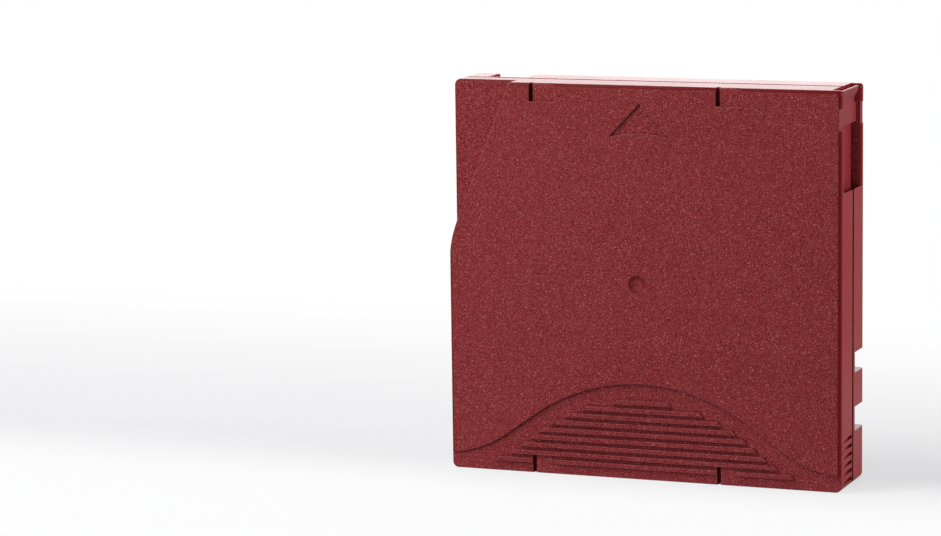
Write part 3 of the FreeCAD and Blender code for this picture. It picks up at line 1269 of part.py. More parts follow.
def slanted(body, name, start_x, length, low, high, lift, thickness):
    """Strip lying on the memory board's slant: low and high run up it, lift stands off it."""
    seat_y, seat_z = board_low_corner()
    diagonal = 1 / root(as_size(2))
    plan = sketch_on(body, name + "_plan", "YZ_Plane", start_x)
    corners = []
    for along, off in ((low, lift), (high, lift), (high, lift + thickness), (low, lift + thickness)):
        corners.append((seat_y + (along - off) * diagonal, seat_z + (along + off) * diagonal))
    outline(plan, corners)
    return extrude(body, "Pad", name, plan, length, False)


def memory_parts():
    """Memory board at 45 degrees, its antenna coil and its sealed chip."""
    left = BOARD_X
    board = new_body("memory_board")
    slanted(board, "board", left, size("board_length"), as_size(0), size("board_width"), as_size(0),
            size("board_thickness"))
    coil_body = new_body("memory_coil")
    inset, band = size("coil_inset"), size("coil_band")
    span = size("board_length") - 2 * inset
    slanted(coil_body, "coil_sheet", left + inset, span, inset, size("board_width") - inset,
            size("board_thickness"), size("coil_thickness"))
    window = sketch_on(coil_body, "coil_window_plan", "YZ_Plane", left + inset + band)
    seat_y, seat_z = board_low_corner()
    diagonal = 1 / root(as_size(2))
    low, high = inset + band, size("board_width") - inset - band
    under = size("board_thickness") - 0.2
    over = size("board_thickness") + size("coil_thickness") + 0.2
    outline(window, [(seat_y + (a - o) * diagonal, seat_z + (a + o) * diagonal)
                     for a, o in ((low, under), (high, under), (high, over), (low, over))])
    extrude(coil_body, "Pocket", "coil_window", window, span - 2 * band, True)
    chip = new_body("memory_chip")
    middle = size("board_width") / 2
    slanted(chip, "chip", left + size("board_length") / 2 - size("chip_size") / 2, size("chip_size"),
            middle - size("chip_size") / 2, middle + size("chip_size") / 2, size("board_thickness"),
            size("chip_thickness"))
    return [board, coil_body, chip]


def build_all():
    pieces = [upper_shell(), lower_shell(), case_screws(), slide_door()]
    reach = size("door_spring_mean") + size("door_spring_wire") / 2
    pieces.append(coil(
        "door_spring", size("door_spring_low") + size("spring_seat_gap"),
        DOOR_LOW - size("door_spring_low") - 2 * size("spring_seat_gap"), size("door_spring_mean"),
        size("door_spring_wire"), size("door_spring_turns"), SIDE_IN - reach - size("door_gap"),
        as_size(0), True))
    pieces += [reel_hub(), reel_flange(), clutch_plate(), reel_brake()]
    pieces.append(coil(
        "brake_spring", UPPER_IN + size("spring_seat_gap"), BRAKE_BACK - UPPER_IN - 2 * size("spring_seat_gap"),
        size("spring_mean"), size("spring_wire"), size("spring_turns"), REEL_X, REEL_Z, False))
    pieces += [release_pad(), tape_pack(), tape_leader(), leader_pin(), pin_clamp()]
    pieces += [pin_retaining_spring(), write_protect_tab()] + memory_parts()
    return pieces


def write_parts(pieces):
    """Check everything first, then write one file for each piece, named after its label."""
    DOC.recompute()
    check_state()
    for piece in pieces:
        shape = piece.Shape
        if shape.isNull() or not shape.isValid() or shape.Volume <= 0:
            raise RuntimeError("%s has no sound shape" % piece.Label)
    os.makedirs("parts", exist_ok=True)
    for piece in pieces:
        piece.Shape.exportStep("parts/%s.step" % piece.Label)
        print(piece.Label, len(piece.Shape.Solids), round(piece.Shape.Volume, 2))


write_parts(build_all())
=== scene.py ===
"""Looks of a single-reel data tape cartridge, laid out as a Blender add-on and run as a script."""
import math

import bpy
from mathutils import Matrix, Vector


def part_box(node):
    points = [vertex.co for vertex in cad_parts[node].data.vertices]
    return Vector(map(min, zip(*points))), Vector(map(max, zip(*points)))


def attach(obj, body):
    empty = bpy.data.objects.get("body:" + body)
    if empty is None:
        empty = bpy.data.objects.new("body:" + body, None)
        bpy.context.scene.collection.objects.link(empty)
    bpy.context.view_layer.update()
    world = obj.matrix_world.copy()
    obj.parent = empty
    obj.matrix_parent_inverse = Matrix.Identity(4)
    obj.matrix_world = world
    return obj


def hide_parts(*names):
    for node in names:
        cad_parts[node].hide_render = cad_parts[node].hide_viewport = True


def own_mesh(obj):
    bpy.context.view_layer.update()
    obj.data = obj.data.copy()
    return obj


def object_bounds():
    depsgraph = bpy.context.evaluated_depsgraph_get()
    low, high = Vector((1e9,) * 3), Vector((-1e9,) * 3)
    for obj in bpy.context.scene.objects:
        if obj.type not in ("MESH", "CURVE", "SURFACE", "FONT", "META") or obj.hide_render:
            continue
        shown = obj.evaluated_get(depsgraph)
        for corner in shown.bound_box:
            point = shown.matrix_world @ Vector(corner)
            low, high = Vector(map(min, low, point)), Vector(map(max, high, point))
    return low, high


bl_info = {
    "name": "Data Tape Cartridge Finish",
    "version": (1, 0, 0),
    "blender": (4, 5, 0),
    "location": "View3D > Sidebar > Cartridge",
    "description": "Moulded plastic, metal and tape finishes for a single-reel data tape cartridge",
    "category": "Object",
}

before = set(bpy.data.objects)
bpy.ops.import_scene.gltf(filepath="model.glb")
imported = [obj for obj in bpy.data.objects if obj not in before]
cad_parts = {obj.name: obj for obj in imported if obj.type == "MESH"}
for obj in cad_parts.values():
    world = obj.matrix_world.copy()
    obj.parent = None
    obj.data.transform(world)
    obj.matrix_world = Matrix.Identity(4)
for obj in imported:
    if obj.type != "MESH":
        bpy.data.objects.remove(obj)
CAD_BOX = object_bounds()
MM = 0.001
COIL_WELD = 0.002 * MM  # joins the faces of a spring's wire, which come unjoined from the frame
DRIFT_SCALE = 45.0  # one wave of pigment drift in about 22 mm
BEND_STEP = 0.9 * MM  # one wave of the bend that makes the glints crooked
BEND_REACH = 1.1 * MM  # how far the bend moves them
LINE_DEPTH = 0.004 * MM  # depth of the fine lines on metal
NOOK_REACH = 1.2 * MM  # how near a step's wall has to be to shade its foot


def linear(hex_colour):
    """sRGB hex to the linear colour that Blender works in."""
    channels = []
    for start in (0, 2, 4):
        part = int(hex_colour[start:start + 2], 16) / 255
        channels.append(part / 12.92 if part <= 0.04045 else ((part + 0.055) / 1.055) ** 2.4)
    return tuple(channels)


class FinishSettings(bpy.types.PropertyGroup):
    shell_colour: bpy.props.FloatVectorProperty(
        name="Shell colour", description="Pigment of both moulded shells", subtype="COLOR", size=3,
        min=0, max=1, default=linear("861f22"))
    # This colour paints the pale glints of light on the grain, and the painted highlight on moulded edges.
    painted_glint_colour: bpy.props.FloatVectorProperty(
        name="Painted glint colour", description="Pale glints of the spark-eroded grain", subtype="COLOR", size=3,
        min=0, max=1, default=linear("cc827e"))
    pit_colour: bpy.props.FloatVectorProperty(
        name="Pit colour", description="Low spots of the eroded grain", subtype="COLOR", size=3,
        min=0, max=1, default=linear("500206"))
    crest_colour: bpy.props.FloatVectorProperty(
        name="Crest colour", description="High spots of the eroded grain, hazed by stray light",
        subtype="COLOR", size=3, min=0, max=1, default=linear("aa464a"))
    door_colour: bpy.props.FloatVectorProperty(
        name="Door colour", description="Pigment of the sliding door", subtype="COLOR", size=3,
        min=0, max=1, default=linear("7e2529"))
    grain_size: bpy.props.FloatProperty(
        name="Grain size", description="Spacing of the eroded grain on the shells", unit="LENGTH",
        default=0.3 * MM, min=0.05 * MM, max=3 * MM)
    edge_radius: bpy.props.FloatProperty(
        name="Edge radius", description="Radius that moulded edges show", unit="LENGTH",
        default=0.25 * MM, min=0.02 * MM, max=1 * MM)
    painted_glint_spacing: bpy.props.FloatProperty(
        name="Painted glint spacing", description="Distance between pale glints", unit="LENGTH",
        default=0.4 * MM, min=0.2 * MM, max=10 * MM)


class StageSettings(bpy.types.PropertyGroup):
    floor_colour: bpy.props.FloatVectorProperty(
        name="Floor colour", description="Pale studio sweep", subtype="COLOR", size=3, min=0, max=1,
        default=linear("c8c8ca"))
    key_power: bpy.props.FloatProperty(
        name="Overhead lamp", description="Power of the lamp high on the left, which rakes the face",
        unit="POWER", default=5.3, min=0)
    fill_power: bpy.props.FloatProperty(
        name="Front left lamp", description="Power of the soft lamp in front of the left side",
        unit="POWER", default=3.4, min=0)
    back_power: bpy.props.FloatProperty(
        name="Rear lamp", description="Power of the large lamp above and behind", unit="POWER",
        default=4.7, min=0)
    side_power: bpy.props.FloatProperty(
        name="Right lamp", description="Power of the lamp on the door side", unit="POWER",
        default=8.7, min=0)
    lens: bpy.props.FloatProperty(
        name="Lens", description="Focal length on a 36 mm wide sensor", default=135.57, min=10)


def add_node(tree, kind, sockets=None, **settings):
    """One node with its settings; a socket value that is a (node, output) pair becomes a link."""
    made = tree.nodes.new(kind)
    for key, value in settings.items():
        setattr(made, key, value)
    for key, value in (sockets or {}).items():
        if isinstance(value, tuple) and len(value) == 2 and isinstance(value[0], bpy.types.Node):
            tree.links.new(value[0].outputs[value[1]], made.inputs[key])
        else:
            made.inputs[key].default_value = value
    return made


def new_material(name, roughness, metallic=0.0):
    """Empty material with a Principled surface and its output; returns material, tree and surface."""
    material = bpy.data.materials.new(name)
    material.use_nodes = True
    tree = material.node_tree
    tree.nodes.clear()
    surface = add_node(tree, "ShaderNodeBsdfPrincipled",
                       {"Roughness": roughness, "Metallic": metallic, "IOR": 1.5})
    add_node(tree, "ShaderNodeOutputMaterial", {"Surface": (surface, "BSDF")})
    return material, tree, surface


def opaque(colour):
    return tuple(colour) + (1.0,)


def scaled(colour, factor):
    return opaque(min(1.0, c * factor) for c in colour)


def slow_drift(tree, place):
    """Cloudy noise for the pigment's drift."""
    return add_node(tree, "ShaderNodeTexNoise",
                    {"Vector": (place, "Object"), "Scale": DRIFT_SCALE, "Detail": 2.0})


def moulded(name, colour, grain, bump, roughness, variation, specular=0.5):
    """Injection-moulded resin from a polished mould: slow drift of the pigment and faint flow marks."""
    material, tree, surface = new_material(name, roughness)
    surface.inputs["Specular IOR Level"].default_value = specular
    spread = 2.6 * variation
    place = add_node(tree, "ShaderNodeTexCoord")
    drift = slow_drift(tree, place)
    fine = add_node(tree, "ShaderNodeTexNoise",
                    {"Vector": (place, "Object"), "Scale": 1 / grain, "Detail": 3.0, "Roughness": 0.6})
    both = add_node(tree, "ShaderNodeMix", {"Factor": 0.75, 2: (drift, "Fac"), 3: (fine, "Fac")},
                    data_type="FLOAT")
    ramp = add_node(tree, "ShaderNodeMapRange", {"Value": (both, 0), "From Min": 0.3, "From Max": 0.7})
    tint = add_node(tree, "ShaderNodeMix",
                    {0: (ramp, "Result"), 6: scaled(colour, 1 - spread), 7: scaled(colour, 1 + spread)},
                    data_type="RGBA")
    tree.links.new(tint.outputs[2], surface.inputs["Base Color"])
    rough = add_node(tree, "ShaderNodeMapRange",
                     {"Value": (fine, "Fac"), "To Min": roughness - 0.07, "To Max": roughness + 0.07})
    tree.links.new(rough.outputs["Result"], surface.inputs["Roughness"])
    relief = add_node(tree, "ShaderNodeBump", {"Height": (fine, "Fac"), "Strength": 0.6, "Distance": bump})
    tree.links.new(relief.outputs["Normal"], surface.inputs["Normal"])
    return material


def resin_colour(tree, finish, grain, drift, level, broad):
    """Sandy mottle on the large faces, a fine haze on side walls, and painted shade on the rounded edges
    between them.
    """
    sand = add_node(tree, "ShaderNodeMapRange",
                    {"Value": (grain, "Fac"), "From Min": 0.34, "From Max": 0.66,
                     "To Min": -1.0, "To Max": 1.0})
    mottle = add_node(tree, "ShaderNodeMath", {0: (sand, "Result"), 1: (broad, "Result")},
                      operation="MULTIPLY")
    slow = add_node(tree, "ShaderNodeMapRange",
                    {"Value": (drift, "Fac"), "From Min": 0.35, "From Max": 0.65,
                     "To Min": 0.48, "To Max": 0.52})
    mixed = add_node(tree, "ShaderNodeMath", {0: (mottle, 0), 1: 0.55, 2: (slow, "Result")},
                     operation="MULTIPLY_ADD")
    sanded = add_node(tree, "ShaderNodeMix",
                      {0: (mixed, 0), 6: opaque(finish.pit_colour), 7: opaque(finish.crest_colour)},
                      data_type="RGBA")
    # Painted shade: surfaces turned partway between the large faces and the walls, such as the rounded
    # edges, take the pigment at 0.56, while the walls keep it whole.
    side_wall = add_node(tree, "ShaderNodeMapRange",
                         {"Value": (level, 0), "From Min": 0.25, "From Max": 0.05})
    colour = tuple(finish.shell_colour)
    plain = add_node(tree, "ShaderNodeMix",
                     {0: (side_wall, "Result"), 6: scaled(colour, 0.56), 7: scaled(colour, 1.0)},
                     data_type="RGBA")
    dusting = add_node(tree, "ShaderNodeMapRange",
                       {"Value": (grain, "Fac"), "From Min": 0.3, "From Max": 0.7,
                        "To Min": 0.9, "To Max": 1.1})
    dusted = add_node(tree, "ShaderNodeVectorMath", {0: (plain, 2), 3: (dusting, "Result")},
                      operation="SCALE")
    return add_node(tree, "ShaderNodeMix", {0: (broad, "Result"), 6: (dusted, 0), 7: (sanded, 2)},
                    data_type="RGBA")


def glints(tree, place, spacing, broad):
    """Share of each point that is a painted glint, a pale speck of reflected light; short and crooked, so
    looked up through a bent position.
    """
    bend = add_node(tree, "ShaderNodeTexNoise",
                    {"Vector": (place, "Object"), "Scale": 1 / BEND_STEP, "Detail": 1.0})
    away = add_node(tree, "ShaderNodeVectorMath", {0: (bend, "Color"), 1: (0.5, 0.5, 0.5)},
                    operation="SUBTRACT")
    bent = add_node(tree, "ShaderNodeVectorMath",
                    {0: (away, 0), 1: (BEND_REACH,) * 3, 2: (place, "Object")}, operation="MULTIPLY_ADD")
    cells = add_node(tree, "ShaderNodeTexVoronoi",
                     {"Vector": (bent, 0), "Scale": 1 / spacing, "Randomness": 1.0})
    near = add_node(tree, "ShaderNodeMapRange",
                    {"Value": (cells, "Distance"), "From Min": 0.42, "From Max": 0.1})
    split = add_node(tree, "ShaderNodeSeparateColor", {"Color": (cells, "Color")})
    rare = add_node(tree, "ShaderNodeMath", {0: (split, "Red"), 1: 1.7}, operation="POWER")
    lit = add_node(tree, "ShaderNodeMath", {0: (near, "Result"), 1: (rare, 0)}, operation="MULTIPLY")
    return add_node(tree, "ShaderNodeMath", {0: (lit, 0), 1: (broad, "Result")}, operation="MULTIPLY")


def painted_edge_highlight_and_nook_shade(tree, rounded, colour, pale):
    """Painted highlight on the small radius of moulded edges, and painted shade at the feet of steps and
    grooves.
    """
    flat = add_node(tree, "ShaderNodeNewGeometry")
    turn = add_node(tree, "ShaderNodeVectorMath", {0: (rounded, "Normal"), 1: (flat, "Normal")},
                    operation="DOT_PRODUCT")
    # Painted highlight: where the rounded normal turns away from the flat one, the colour is mixed toward
    # the pale glint colour.
    edge = add_node(tree, "ShaderNodeMapRange",
                    {"Value": (turn, "Value"), "From Min": 0.99, "From Max": 0.85, "To Max": 0.45})
    # Painted shade: where walls stand near, the colour is taken down to 0.66.
    nook = add_node(tree, "ShaderNodeAmbientOcclusion", {"Distance": NOOK_REACH}, samples=8, only_local=True)
    clear = add_node(tree, "ShaderNodeMapRange", {"Value": (nook, "AO"), "From Min": 0.5, "From Max": 0.92})
    caught = add_node(tree, "ShaderNodeMath", {0: (edge, "Result"), 1: (clear, "Result")},
                      operation="MULTIPLY")
    rimmed = add_node(tree, "ShaderNodeMix", {0: (caught, 0), 6: (colour, 2), 7: pale}, data_type="RGBA")
    dim = add_node(tree, "ShaderNodeMapRange", {"Value": (clear, "Result"), "To Min": 0.66})
    return add_node(tree, "ShaderNodeVectorMath", {0: (rimmed, 2), 3: (dim, "Result")}, operation="SCALE")


def eroded_resin(name, finish, specular):
    """Case resin: a sandy spark-eroded grain on the two large faces, smooth on walls and rounded edges."""
    material, tree, surface = new_material(name, 0.5)
    surface.inputs["Specular IOR Level"].default_value = specular
    place = add_node(tree, "ShaderNodeTexCoord")
    facing = add_node(tree, "ShaderNodeSeparateXYZ", {"Vector": (place, "Normal")})
    level = add_node(tree, "ShaderNodeMath", {0: (facing, "Y")}, operation="ABSOLUTE")
    broad = add_node(tree, "ShaderNodeMapRange", {"Value": (level, 0), "From Min": 0.93, "From Max": 0.995})
    drift = slow_drift(tree, place)
    # Spark-eroded grain is about 0.1 mm; it is drawn coarser, at the size in the settings, to show at all.
    grain = add_node(tree, "ShaderNodeTexNoise",
                     {"Vector": (place, "Object"), "Scale": 1 / finish.grain_size, "Detail": 3.0,
                      "Roughness": 0.75})
    tint = resin_colour(tree, finish, grain, drift, level, broad)
    amount = glints(tree, place, finish.painted_glint_spacing, broad)
    pale = opaque(finish.painted_glint_colour)
    # Painted glints: pale specks of reflected light are mixed into the colour of the large faces.
    shade = add_node(tree, "ShaderNodeMix", {0: (amount, 0), 6: (tint, 2), 7: pale}, data_type="RGBA")
    rounded = add_node(tree, "ShaderNodeBevel", {"Radius": finish.edge_radius}, samples=4)
    # The painted edge highlight and the painted shade in nooks and at the feet of steps go into the colour
    # here.
    final = painted_edge_highlight_and_nook_shade(tree, rounded, shade, pale)
    tree.links.new(final.outputs[0], surface.inputs["Base Color"])
    sandy = add_node(tree, "ShaderNodeMapRange", {"Value": (grain, "Fac"), "To Min": 0.42, "To Max": 0.62})
    smooth = add_node(tree, "ShaderNodeMapRange", {"Value": (drift, "Fac"), "To Min": 0.22, "To Max": 0.3})
    rough = add_node(tree, "ShaderNodeMix",
                     {0: (broad, "Result"), 2: (smooth, "Result"), 3: (sandy, "Result")}, data_type="FLOAT")
    tree.links.new(rough.outputs[0], surface.inputs["Roughness"])
    height = add_node(tree, "ShaderNodeMath", {0: (grain, "Fac"), 1: (broad, "Result")},
                      operation="MULTIPLY")
    relief = add_node(tree, "ShaderNodeBump", {"Height": (height, 0), "Strength": 0.5, "Distance": 0.05 * MM,
                                               "Normal": (rounded, "Normal")})
    tree.links.new(relief.outputs["Normal"], surface.inputs["Normal"])
    return material


def metal(name, colour, roughness, line, stretch):
    """Bare metal whose drawn, turned or stamped surface leaves fine lines along one direction."""
    material, tree, surface = new_material(name, roughness, metallic=1.0)
    place = add_node(tree, "ShaderNodeTexCoord")
    along = add_node(tree, "ShaderNodeMapping", {"Vector": (place, "Object"), "Scale": stretch})
    lines = add_node(tree, "ShaderNodeTexNoise",
                     {"Vector": (along, "Vector"), "Scale": 1 / line, "Detail": 4.0})
    tint = add_node(tree, "ShaderNodeMix",
                    {0: (lines, "Fac"), 6: scaled(colour, 0.8), 7: scaled(colour, 1.1)}, data_type="RGBA")
    tree.links.new(tint.outputs[2], surface.inputs["Base Color"])
    rough = add_node(tree, "ShaderNodeMapRange",
                     {"Value": (lines, "Fac"), "To Min": roughness - 0.08, "To Max": roughness + 0.1})
    tree.links.new(rough.outputs["Result"], surface.inputs["Roughness"])
    relief = add_node(tree, "ShaderNodeBump",
                      {"Height": (lines, "Fac"), "Strength": 0.5, "Distance": LINE_DEPTH})
    tree.links.new(relief.outputs["Normal"], surface.inputs["Normal"])
    return material


def wound_tape(name, centre):
    """Wound coated film: near-black, with rings where the layers end on the pack's faces."""
    material, tree, surface = new_material(name, 0.28)
    place = add_node(tree, "ShaderNodeTexCoord")
    shift = add_node(tree, "ShaderNodeMapping",
                     {"Vector": (place, "Object"), "Location": tuple(-v for v in centre)})
    # The film is a few thousandths thick, so the rings are drawn this far apart to show at all.
    ring_step, waves_per_unit = 0.4 * MM, 20
    rings = add_node(tree, "ShaderNodeTexWave",
                     {"Vector": (shift, "Vector"), "Scale": 1 / (waves_per_unit * ring_step),
                      "Distortion": 1.5, "Detail": 2.0}, wave_type="RINGS", rings_direction="Y")
    tint = add_node(tree, "ShaderNodeMix",
                    {0: (rings, "Fac"), 6: opaque(linear("191514")), 7: opaque(linear("2b2523"))},
                    data_type="RGBA")
    tree.links.new(tint.outputs[2], surface.inputs["Base Color"])
    rough = add_node(tree, "ShaderNodeMapRange", {"Value": (rings, "Fac"), "To Min": 0.22, "To Max": 0.36})
    tree.links.new(rough.outputs["Result"], surface.inputs["Roughness"])
    relief = add_node(tree, "ShaderNodeBump",
                      {"Height": (rings, "Fac"), "Strength": 0.4, "Distance": 0.02 * MM})
    tree.links.new(relief.outputs["Normal"], surface.inputs["Normal"])
    return material


def cad(name):
    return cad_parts[name]


def dress(name, material):
    """Give every slot of a CAD node the finish."""
    item = cad(name)
    if not item.material_slots:
        item.data.materials.append(material)
    for slot in item.material_slots:
        slot.material = material


def spring_coil(node, material):
    """Copy of a spring with the faces of its wire joined, hung on the case in place of the hidden original.
    """
    bpy.ops.object.select_all(action="DESELECT")
    coil = bpy.data.objects.new(node + "_coil", cad(node).data.copy())
    bpy.context.scene.collection.objects.link(coil)
    coil.select_set(True)
    bpy.context.view_layer.objects.active = coil
    bpy.ops.object.mode_set(mode="EDIT")
    bpy.ops.mesh.select_all(action="SELECT")
    bpy.ops.mesh.remove_doubles(threshold=COIL_WELD)
    bpy.ops.object.mode_set(mode="OBJECT")
    coil.data.materials.clear()
    coil.data.materials.append(material)
    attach(coil, "case")
    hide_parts(node)
    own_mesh(coil)


class CARTRIDGE_OT_shells(bpy.types.Operator):
    """Both halves of the case in eroded-grain dark red ABS"""
    bl_idname = "cartridge.shells"
    bl_label = "Shells"

    def execute(self, context):
        finish = context.scene.cartridge_finish
        # ABS from an eroded mould: matt and sandy on the faces, with a low sheen on the walls.
        for node, specular in (("upper_shell", 0.05), ("lower_shell", 0.08)):
            dress(node, eroded_resin("%s eroded ABS" % node.replace("_", " "), finish, specular))
        return {"FINISHED"}


class CARTRIDGE_OT_door(bpy.types.Operator):
    """Sliding door and write protect slide in smooth dark red acetal"""
    bl_idname = "cartridge.door"
    bl_label = "Door and slide"

    def execute(self, context):
        finish = context.scene.cartridge_finish
        # Acetal slides well and comes from a polished mould: a soft, even sheen.
        for node in ("slide_door", "write_protect_tab"):
            acetal = moulded("%s smooth acetal" % node.replace("_", " "), tuple(finish.door_colour),
                             1.2 * MM, 0.01 * MM, 0.38, variation=0.03, specular=0.14)
            dress(node, acetal)
        return {"FINISHED"}


class CARTRIDGE_OT_reel(bpy.types.Operator):
    """Hub, flanges, brake and release pad in natural and dark resins"""
    bl_idname = "cartridge.reel"
    bl_label = "Reel and brake"

    def execute(self, context):
        # Glass-filled polycarbonate: off-white, slightly cloudy, fine flow marks.
        dress("reel_hub", moulded("hub glass-filled polycarbonate", linear("d8d7d1"), 1.5 * MM, 0.012 * MM,
                                  0.42, variation=0.02))
        dress("reel_flange", moulded("flange polycarbonate", linear("dcdbd6"), 2.5 * MM, 0.008 * MM, 0.33,
                                     variation=0.015))
        # Natural acetal of the brake: milky white and waxy.
        dress("reel_brake", moulded("brake natural acetal", linear("e9e6dc"), 1.0 * MM, 0.01 * MM, 0.36,
                                    variation=0.015))
        dress("release_pad", moulded("pad dark acetal", linear("2e2f31"), 0.9 * MM, 0.012 * MM, 0.4,
                                     variation=0.05))
        return {"FINISHED"}


class CARTRIDGE_OT_tape(bpy.types.Operator):
    """Wound tape, its free end and the clamp that grips it"""
    bl_idname = "cartridge.tape"
    bl_label = "Tape"

    def execute(self, context):
        low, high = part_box("tape_pack")
        middle = tuple((a + b) / 2 for a, b in zip(low, high))
        dress("tape_pack", wound_tape("wound coated film", middle))
        dress("tape_leader", wound_tape("film end", middle))
        dress("pin_clamp", moulded("clamp black resin", linear("1d1d1e"), 0.8 * MM, 0.015 * MM, 0.45,
                                   variation=0.06))
        return {"FINISHED"}


class CARTRIDGE_OT_metal(bpy.types.Operator):
    """Screws, springs, clutch plate and leader pin in their metals"""
    bl_idname = "cartridge.metal"
    bl_label = "Metal pieces"

    def execute(self, context):
        # Stainless sheet, stamped flat: fine rolling lines along X.
        dress("clutch_plate", metal("stamped stainless", linear("b9babb"), 0.34, 0.3 * MM, (0.05, 1.0, 1.0)))
        # Turned pin: lines run round it, so the pattern is squeezed along Y.
        dress("leader_pin", metal("turned stainless", linear("c4c4c5"), 0.22, 0.2 * MM, (0.1, 2.0, 0.1)))
        # Zinc plate over steel, dulled and faintly mottled.
        dress("case_screws", metal("zinc plated steel", linear("8d8f92"), 0.38, 0.6 * MM, (1.0, 1.0, 1.0)))
        # Drawn spring wire, oiled grey.
        wire = metal("drawn spring wire", linear("a3a5a8"), 0.3, 0.25 * MM, (1.0, 1.0, 1.0))
        for node, slot, joint, axis in (("door_spring", "spring_steel", "door_slide", (0, 0, 1)),
                                        ("brake_spring", "brake_spring_steel", "brake_lift", (0, 1, 0))):
            dress(node, wire)
            spring_coil(node, wire)
        # Strip, rolled along Y.
        dress("pin_retaining_spring", metal("spring strip", linear("a9abae"), 0.3, 0.3 * MM,
                                            (1.0, 0.08, 1.0)))
        return {"FINISHED"}


class CARTRIDGE_OT_memory(bpy.types.Operator):
    """Memory board, its antenna coil and its sealed chip"""
    bl_idname = "cartridge.memory"
    bl_label = "Memory"

    def execute(self, context):
        # Solder resist over glass cloth: the weave shows faintly at about half a millimetre.
        dress("memory_board", moulded("green coated laminate", linear("1f5236"), 0.5 * MM, 0.015 * MM, 0.3,
                                      variation=0.06))
        dress("memory_coil", metal("etched copper", linear("b8733a"), 0.3, 0.35 * MM, (1.0, 0.2, 1.0)))
        dress("memory_chip", moulded("chip sealing resin", linear("141415"), 0.5 * MM, 0.02 * MM, 0.35,
                                     variation=0.08))
        return {"FINISHED"}


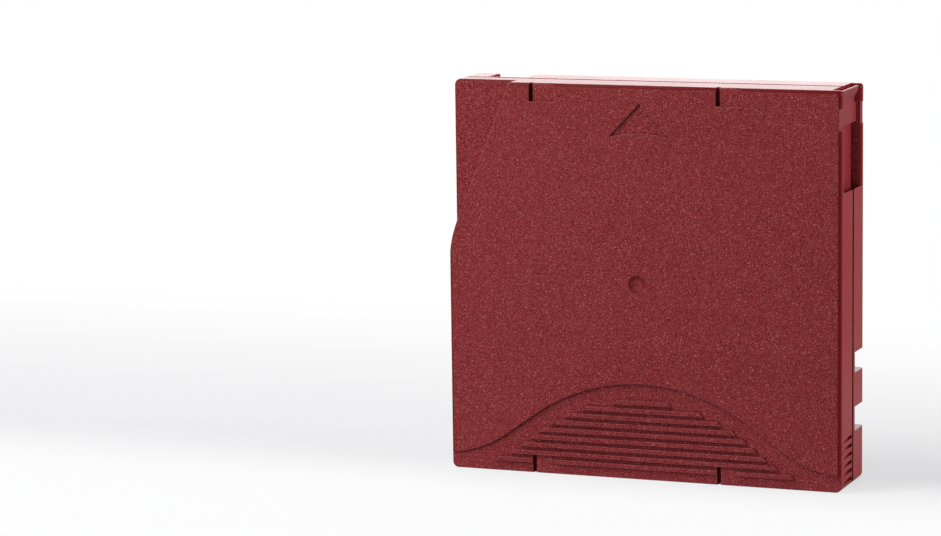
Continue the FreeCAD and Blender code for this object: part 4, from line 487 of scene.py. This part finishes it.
class CARTRIDGE_OT_stage(bpy.types.Operator):
    """Pale sweep, soft lamps and the camera"""
    bl_idname = "cartridge.stage"
    bl_label = "Stage"

    def floor(self, setup):
        bpy.ops.object.select_all(action="DESELECT")
        bpy.ops.mesh.primitive_plane_add(size=6.0, location=(0, 1.0, CAD_BOX[0][2]))
        floor = bpy.context.object
        floor.name = "floor"
        material, tree, surface = new_material("pale studio sweep", 0.75)
        place = add_node(tree, "ShaderNodeTexCoord")
        speck = add_node(tree, "ShaderNodeTexNoise",
                         {"Vector": (place, "Object"), "Scale": 400.0, "Detail": 2.0})
        pale = setup.floor_colour
        tint = add_node(tree, "ShaderNodeMix",
                        {0: (speck, "Fac"), 6: scaled(pale, 0.985), 7: scaled(pale, 1.0)}, data_type="RGBA")
        tree.links.new(tint.outputs[2], surface.inputs["Base Color"])
        surface.inputs["Specular IOR Level"].default_value = 0.2
        # The sweep fades to white a quarter of a metre behind the object, as a lit backdrop does, and nearly
        # to white just ahead of its middle, so a soft grey band is left at its foot: a painted shadow band,
        # inside which the lamps' own shadow shows. Y is measured from the middle of the floor, 1 m behind
        # the object.
        split = add_node(tree, "ShaderNodeSeparateXYZ", {"Vector": (place, "Object")})
        behind = add_node(tree, "ShaderNodeMapRange",
                          {"Value": (split, "Y"), "From Min": -1.0, "From Max": -0.75},
                          interpolation_type="SMOOTHSTEP")
        ahead = add_node(tree, "ShaderNodeMapRange",
                         {"Value": (split, "Y"), "From Min": -0.98, "From Max": -1.045, "To Max": 0.85},
                         interpolation_type="SMOOTHSTEP")
        ends = add_node(tree, "ShaderNodeMath", {0: (behind, "Result"), 1: (ahead, "Result")},
                        operation="MAXIMUM")
        # The camera sees the full glow; the object gets less of it, so that the lamps set its level.
        path = add_node(tree, "ShaderNodeLightPath")
        shine = add_node(tree, "ShaderNodeMapRange", {"Value": (path, "Is Camera Ray"), "To Min": 0.4})
        glow = add_node(tree, "ShaderNodeEmission", {"Color": (1, 1, 1, 1), "Strength": (shine, "Result")})
        even = add_node(tree, "ShaderNodeEmission", {"Color": (0.86, 0.86, 0.875, 1), "Strength": 1.0})
        # The camera sees the lit floor partly as an even grey, which keeps the object's shadow pale.
        share = add_node(tree, "ShaderNodeMath", {0: (path, "Is Camera Ray"), 1: 0.66}, operation="MULTIPLY")
        base = add_node(tree, "ShaderNodeMixShader",
                        {0: (share, 0), 1: (surface, "BSDF"), 2: (even, "Emission")})
        blend = add_node(tree, "ShaderNodeMixShader",
                         {0: (ends, 0), 1: (base, 0), 2: (glow, "Emission")})
        output = [n for n in tree.nodes if n.type == "OUTPUT_MATERIAL"][0]
        tree.links.new(blend.outputs[0], output.inputs["Surface"])
        floor.data.materials.append(material)

    def world(self):
        world = bpy.data.worlds.new("plain studio")
        bpy.context.scene.world = world
        world.use_nodes = True
        tree = world.node_tree
        tree.nodes.clear()
        path = add_node(tree, "ShaderNodeLightPath")
        seen = add_node(tree, "ShaderNodeMath",
                        {0: (path, "Is Camera Ray"), 1: (path, "Is Glossy Ray")}, operation="MAXIMUM")
        soft = add_node(tree, "ShaderNodeBackground", {"Color": (0.97, 0.98, 1.0, 1.0), "Strength": 0.12})
        # The lit backdrop stands behind the object; the room in front of it and above it stays dim.
        place = add_node(tree, "ShaderNodeTexCoord")
        split = add_node(tree, "ShaderNodeSeparateXYZ", {"Vector": (place, "Generated")})
        behind = add_node(tree, "ShaderNodeMapRange",
                          {"Value": (split, "Y"), "From Min": -0.1, "From Max": 0.5,
                           "To Min": 0.03, "To Max": 0.5})
        strength = add_node(tree, "ShaderNodeMath",
                            {0: (path, "Is Camera Ray"), 1: (behind, "Result")}, operation="MAXIMUM")
        white = add_node(tree, "ShaderNodeBackground", {"Color": (1, 1, 1, 1), "Strength": (strength, 0)})
        blend = add_node(tree, "ShaderNodeMixShader",
                         {0: (seen, 0), 1: (soft, "Background"), 2: (white, "Background")})
        add_node(tree, "ShaderNodeOutputWorld", {"Surface": (blend, 0)})

    def lamp(self, name, power, size, place, target):
        bpy.ops.object.select_all(action="DESELECT")
        bpy.ops.object.light_add(type="AREA", location=place)
        lamp = bpy.context.object
        lamp.name = name
        lamp.data.energy = power
        lamp.data.size = size
        aim = Vector(target) - Vector(place)
        lamp.rotation_euler = aim.to_track_quat("-Z", "Y").to_euler()

    def camera(self, setup):
        """Camera in front and to the right; yaw turns it left and pitch down, in radians."""
        place = (0.286660, -0.857594, 0.195219)
        yaw, pitch, roll = 0.375038, 0.154708, -0.0139407
        forward = Vector((-math.sin(yaw) * math.cos(pitch), math.cos(yaw) * math.cos(pitch),
                          -math.sin(pitch)))
        level = Vector((math.cos(yaw), math.sin(yaw), 0))
        upright = level.cross(forward)
        right = level * math.cos(roll) + upright * math.sin(roll)
        up = upright * math.cos(roll) - level * math.sin(roll)
        data = bpy.data.cameras.new("camera")
        data.lens = setup.lens
        data.sensor_width = 36
        data.clip_start = 0.01
        camera = bpy.data.objects.new("camera", data)
        bpy.context.scene.collection.objects.link(camera)
        turn = Matrix((right, up, -forward)).transposed().to_4x4()
        camera.matrix_world = Matrix.Translation(place) @ turn
        bpy.context.scene.camera = camera

    def execute(self, context):
        setup = context.scene.cartridge_stage
        self.floor(setup)
        self.world()
        self.lamp("overhead lamp", setup.key_power, 0.35, (-0.42, -0.25, 0.78), (0, 0, 0.05))
        self.lamp("front left lamp", setup.fill_power, 0.5, (-0.5, -0.42, 0.36), (0, 0, 0.05))
        self.lamp("rear lamp", setup.back_power, 0.8, (-0.35, 0.85, 0.52), (0, 0, 0.06))
        self.lamp("right lamp", setup.side_power, 0.5, (0.95, 0.1, 0.35), (0.05, 0, 0.05))
        self.camera(setup)
        context.scene.view_settings.view_transform = "Standard"
        return {"FINISHED"}


class CARTRIDGE_PT_panel(bpy.types.Panel):
    """Buttons for each group of pieces and for the stage"""
    bl_idname = "CARTRIDGE_PT_panel"
    bl_label = "Data Tape Cartridge"
    bl_space_type = "VIEW_3D"
    bl_region_type = "UI"
    bl_category = "Cartridge"

    def draw(self, context):
        layout = self.layout
        for group in (context.scene.cartridge_finish, context.scene.cartridge_stage):
            box = layout.box()
            for name in group.__class__.__annotations__:
                box.prop(group, name)
        for operator in OPERATORS:
            layout.operator(operator.bl_idname)


OPERATORS = (
    CARTRIDGE_OT_shells,
    CARTRIDGE_OT_door,
    CARTRIDGE_OT_reel,
    CARTRIDGE_OT_tape,
    CARTRIDGE_OT_metal,
    CARTRIDGE_OT_memory,
    CARTRIDGE_OT_stage,
)
CLASSES = (FinishSettings, StageSettings) + OPERATORS + (CARTRIDGE_PT_panel,)


def register():
    for item in CLASSES:
        bpy.utils.register_class(item)
    bpy.types.Scene.cartridge_finish = bpy.props.PointerProperty(type=FinishSettings)
    bpy.types.Scene.cartridge_stage = bpy.props.PointerProperty(type=StageSettings)


def unregister():
    del bpy.types.Scene.cartridge_stage
    del bpy.types.Scene.cartridge_finish
    for item in reversed(CLASSES):
        bpy.utils.unregister_class(item)


def main():
    register()
    bpy.ops.cartridge.shells()
    bpy.ops.cartridge.door()
    bpy.ops.cartridge.reel()
    bpy.ops.cartridge.tape()
    bpy.ops.cartridge.metal()
    bpy.ops.cartridge.memory()
    bpy.ops.cartridge.stage()


if __name__ == "__main__":
    main()
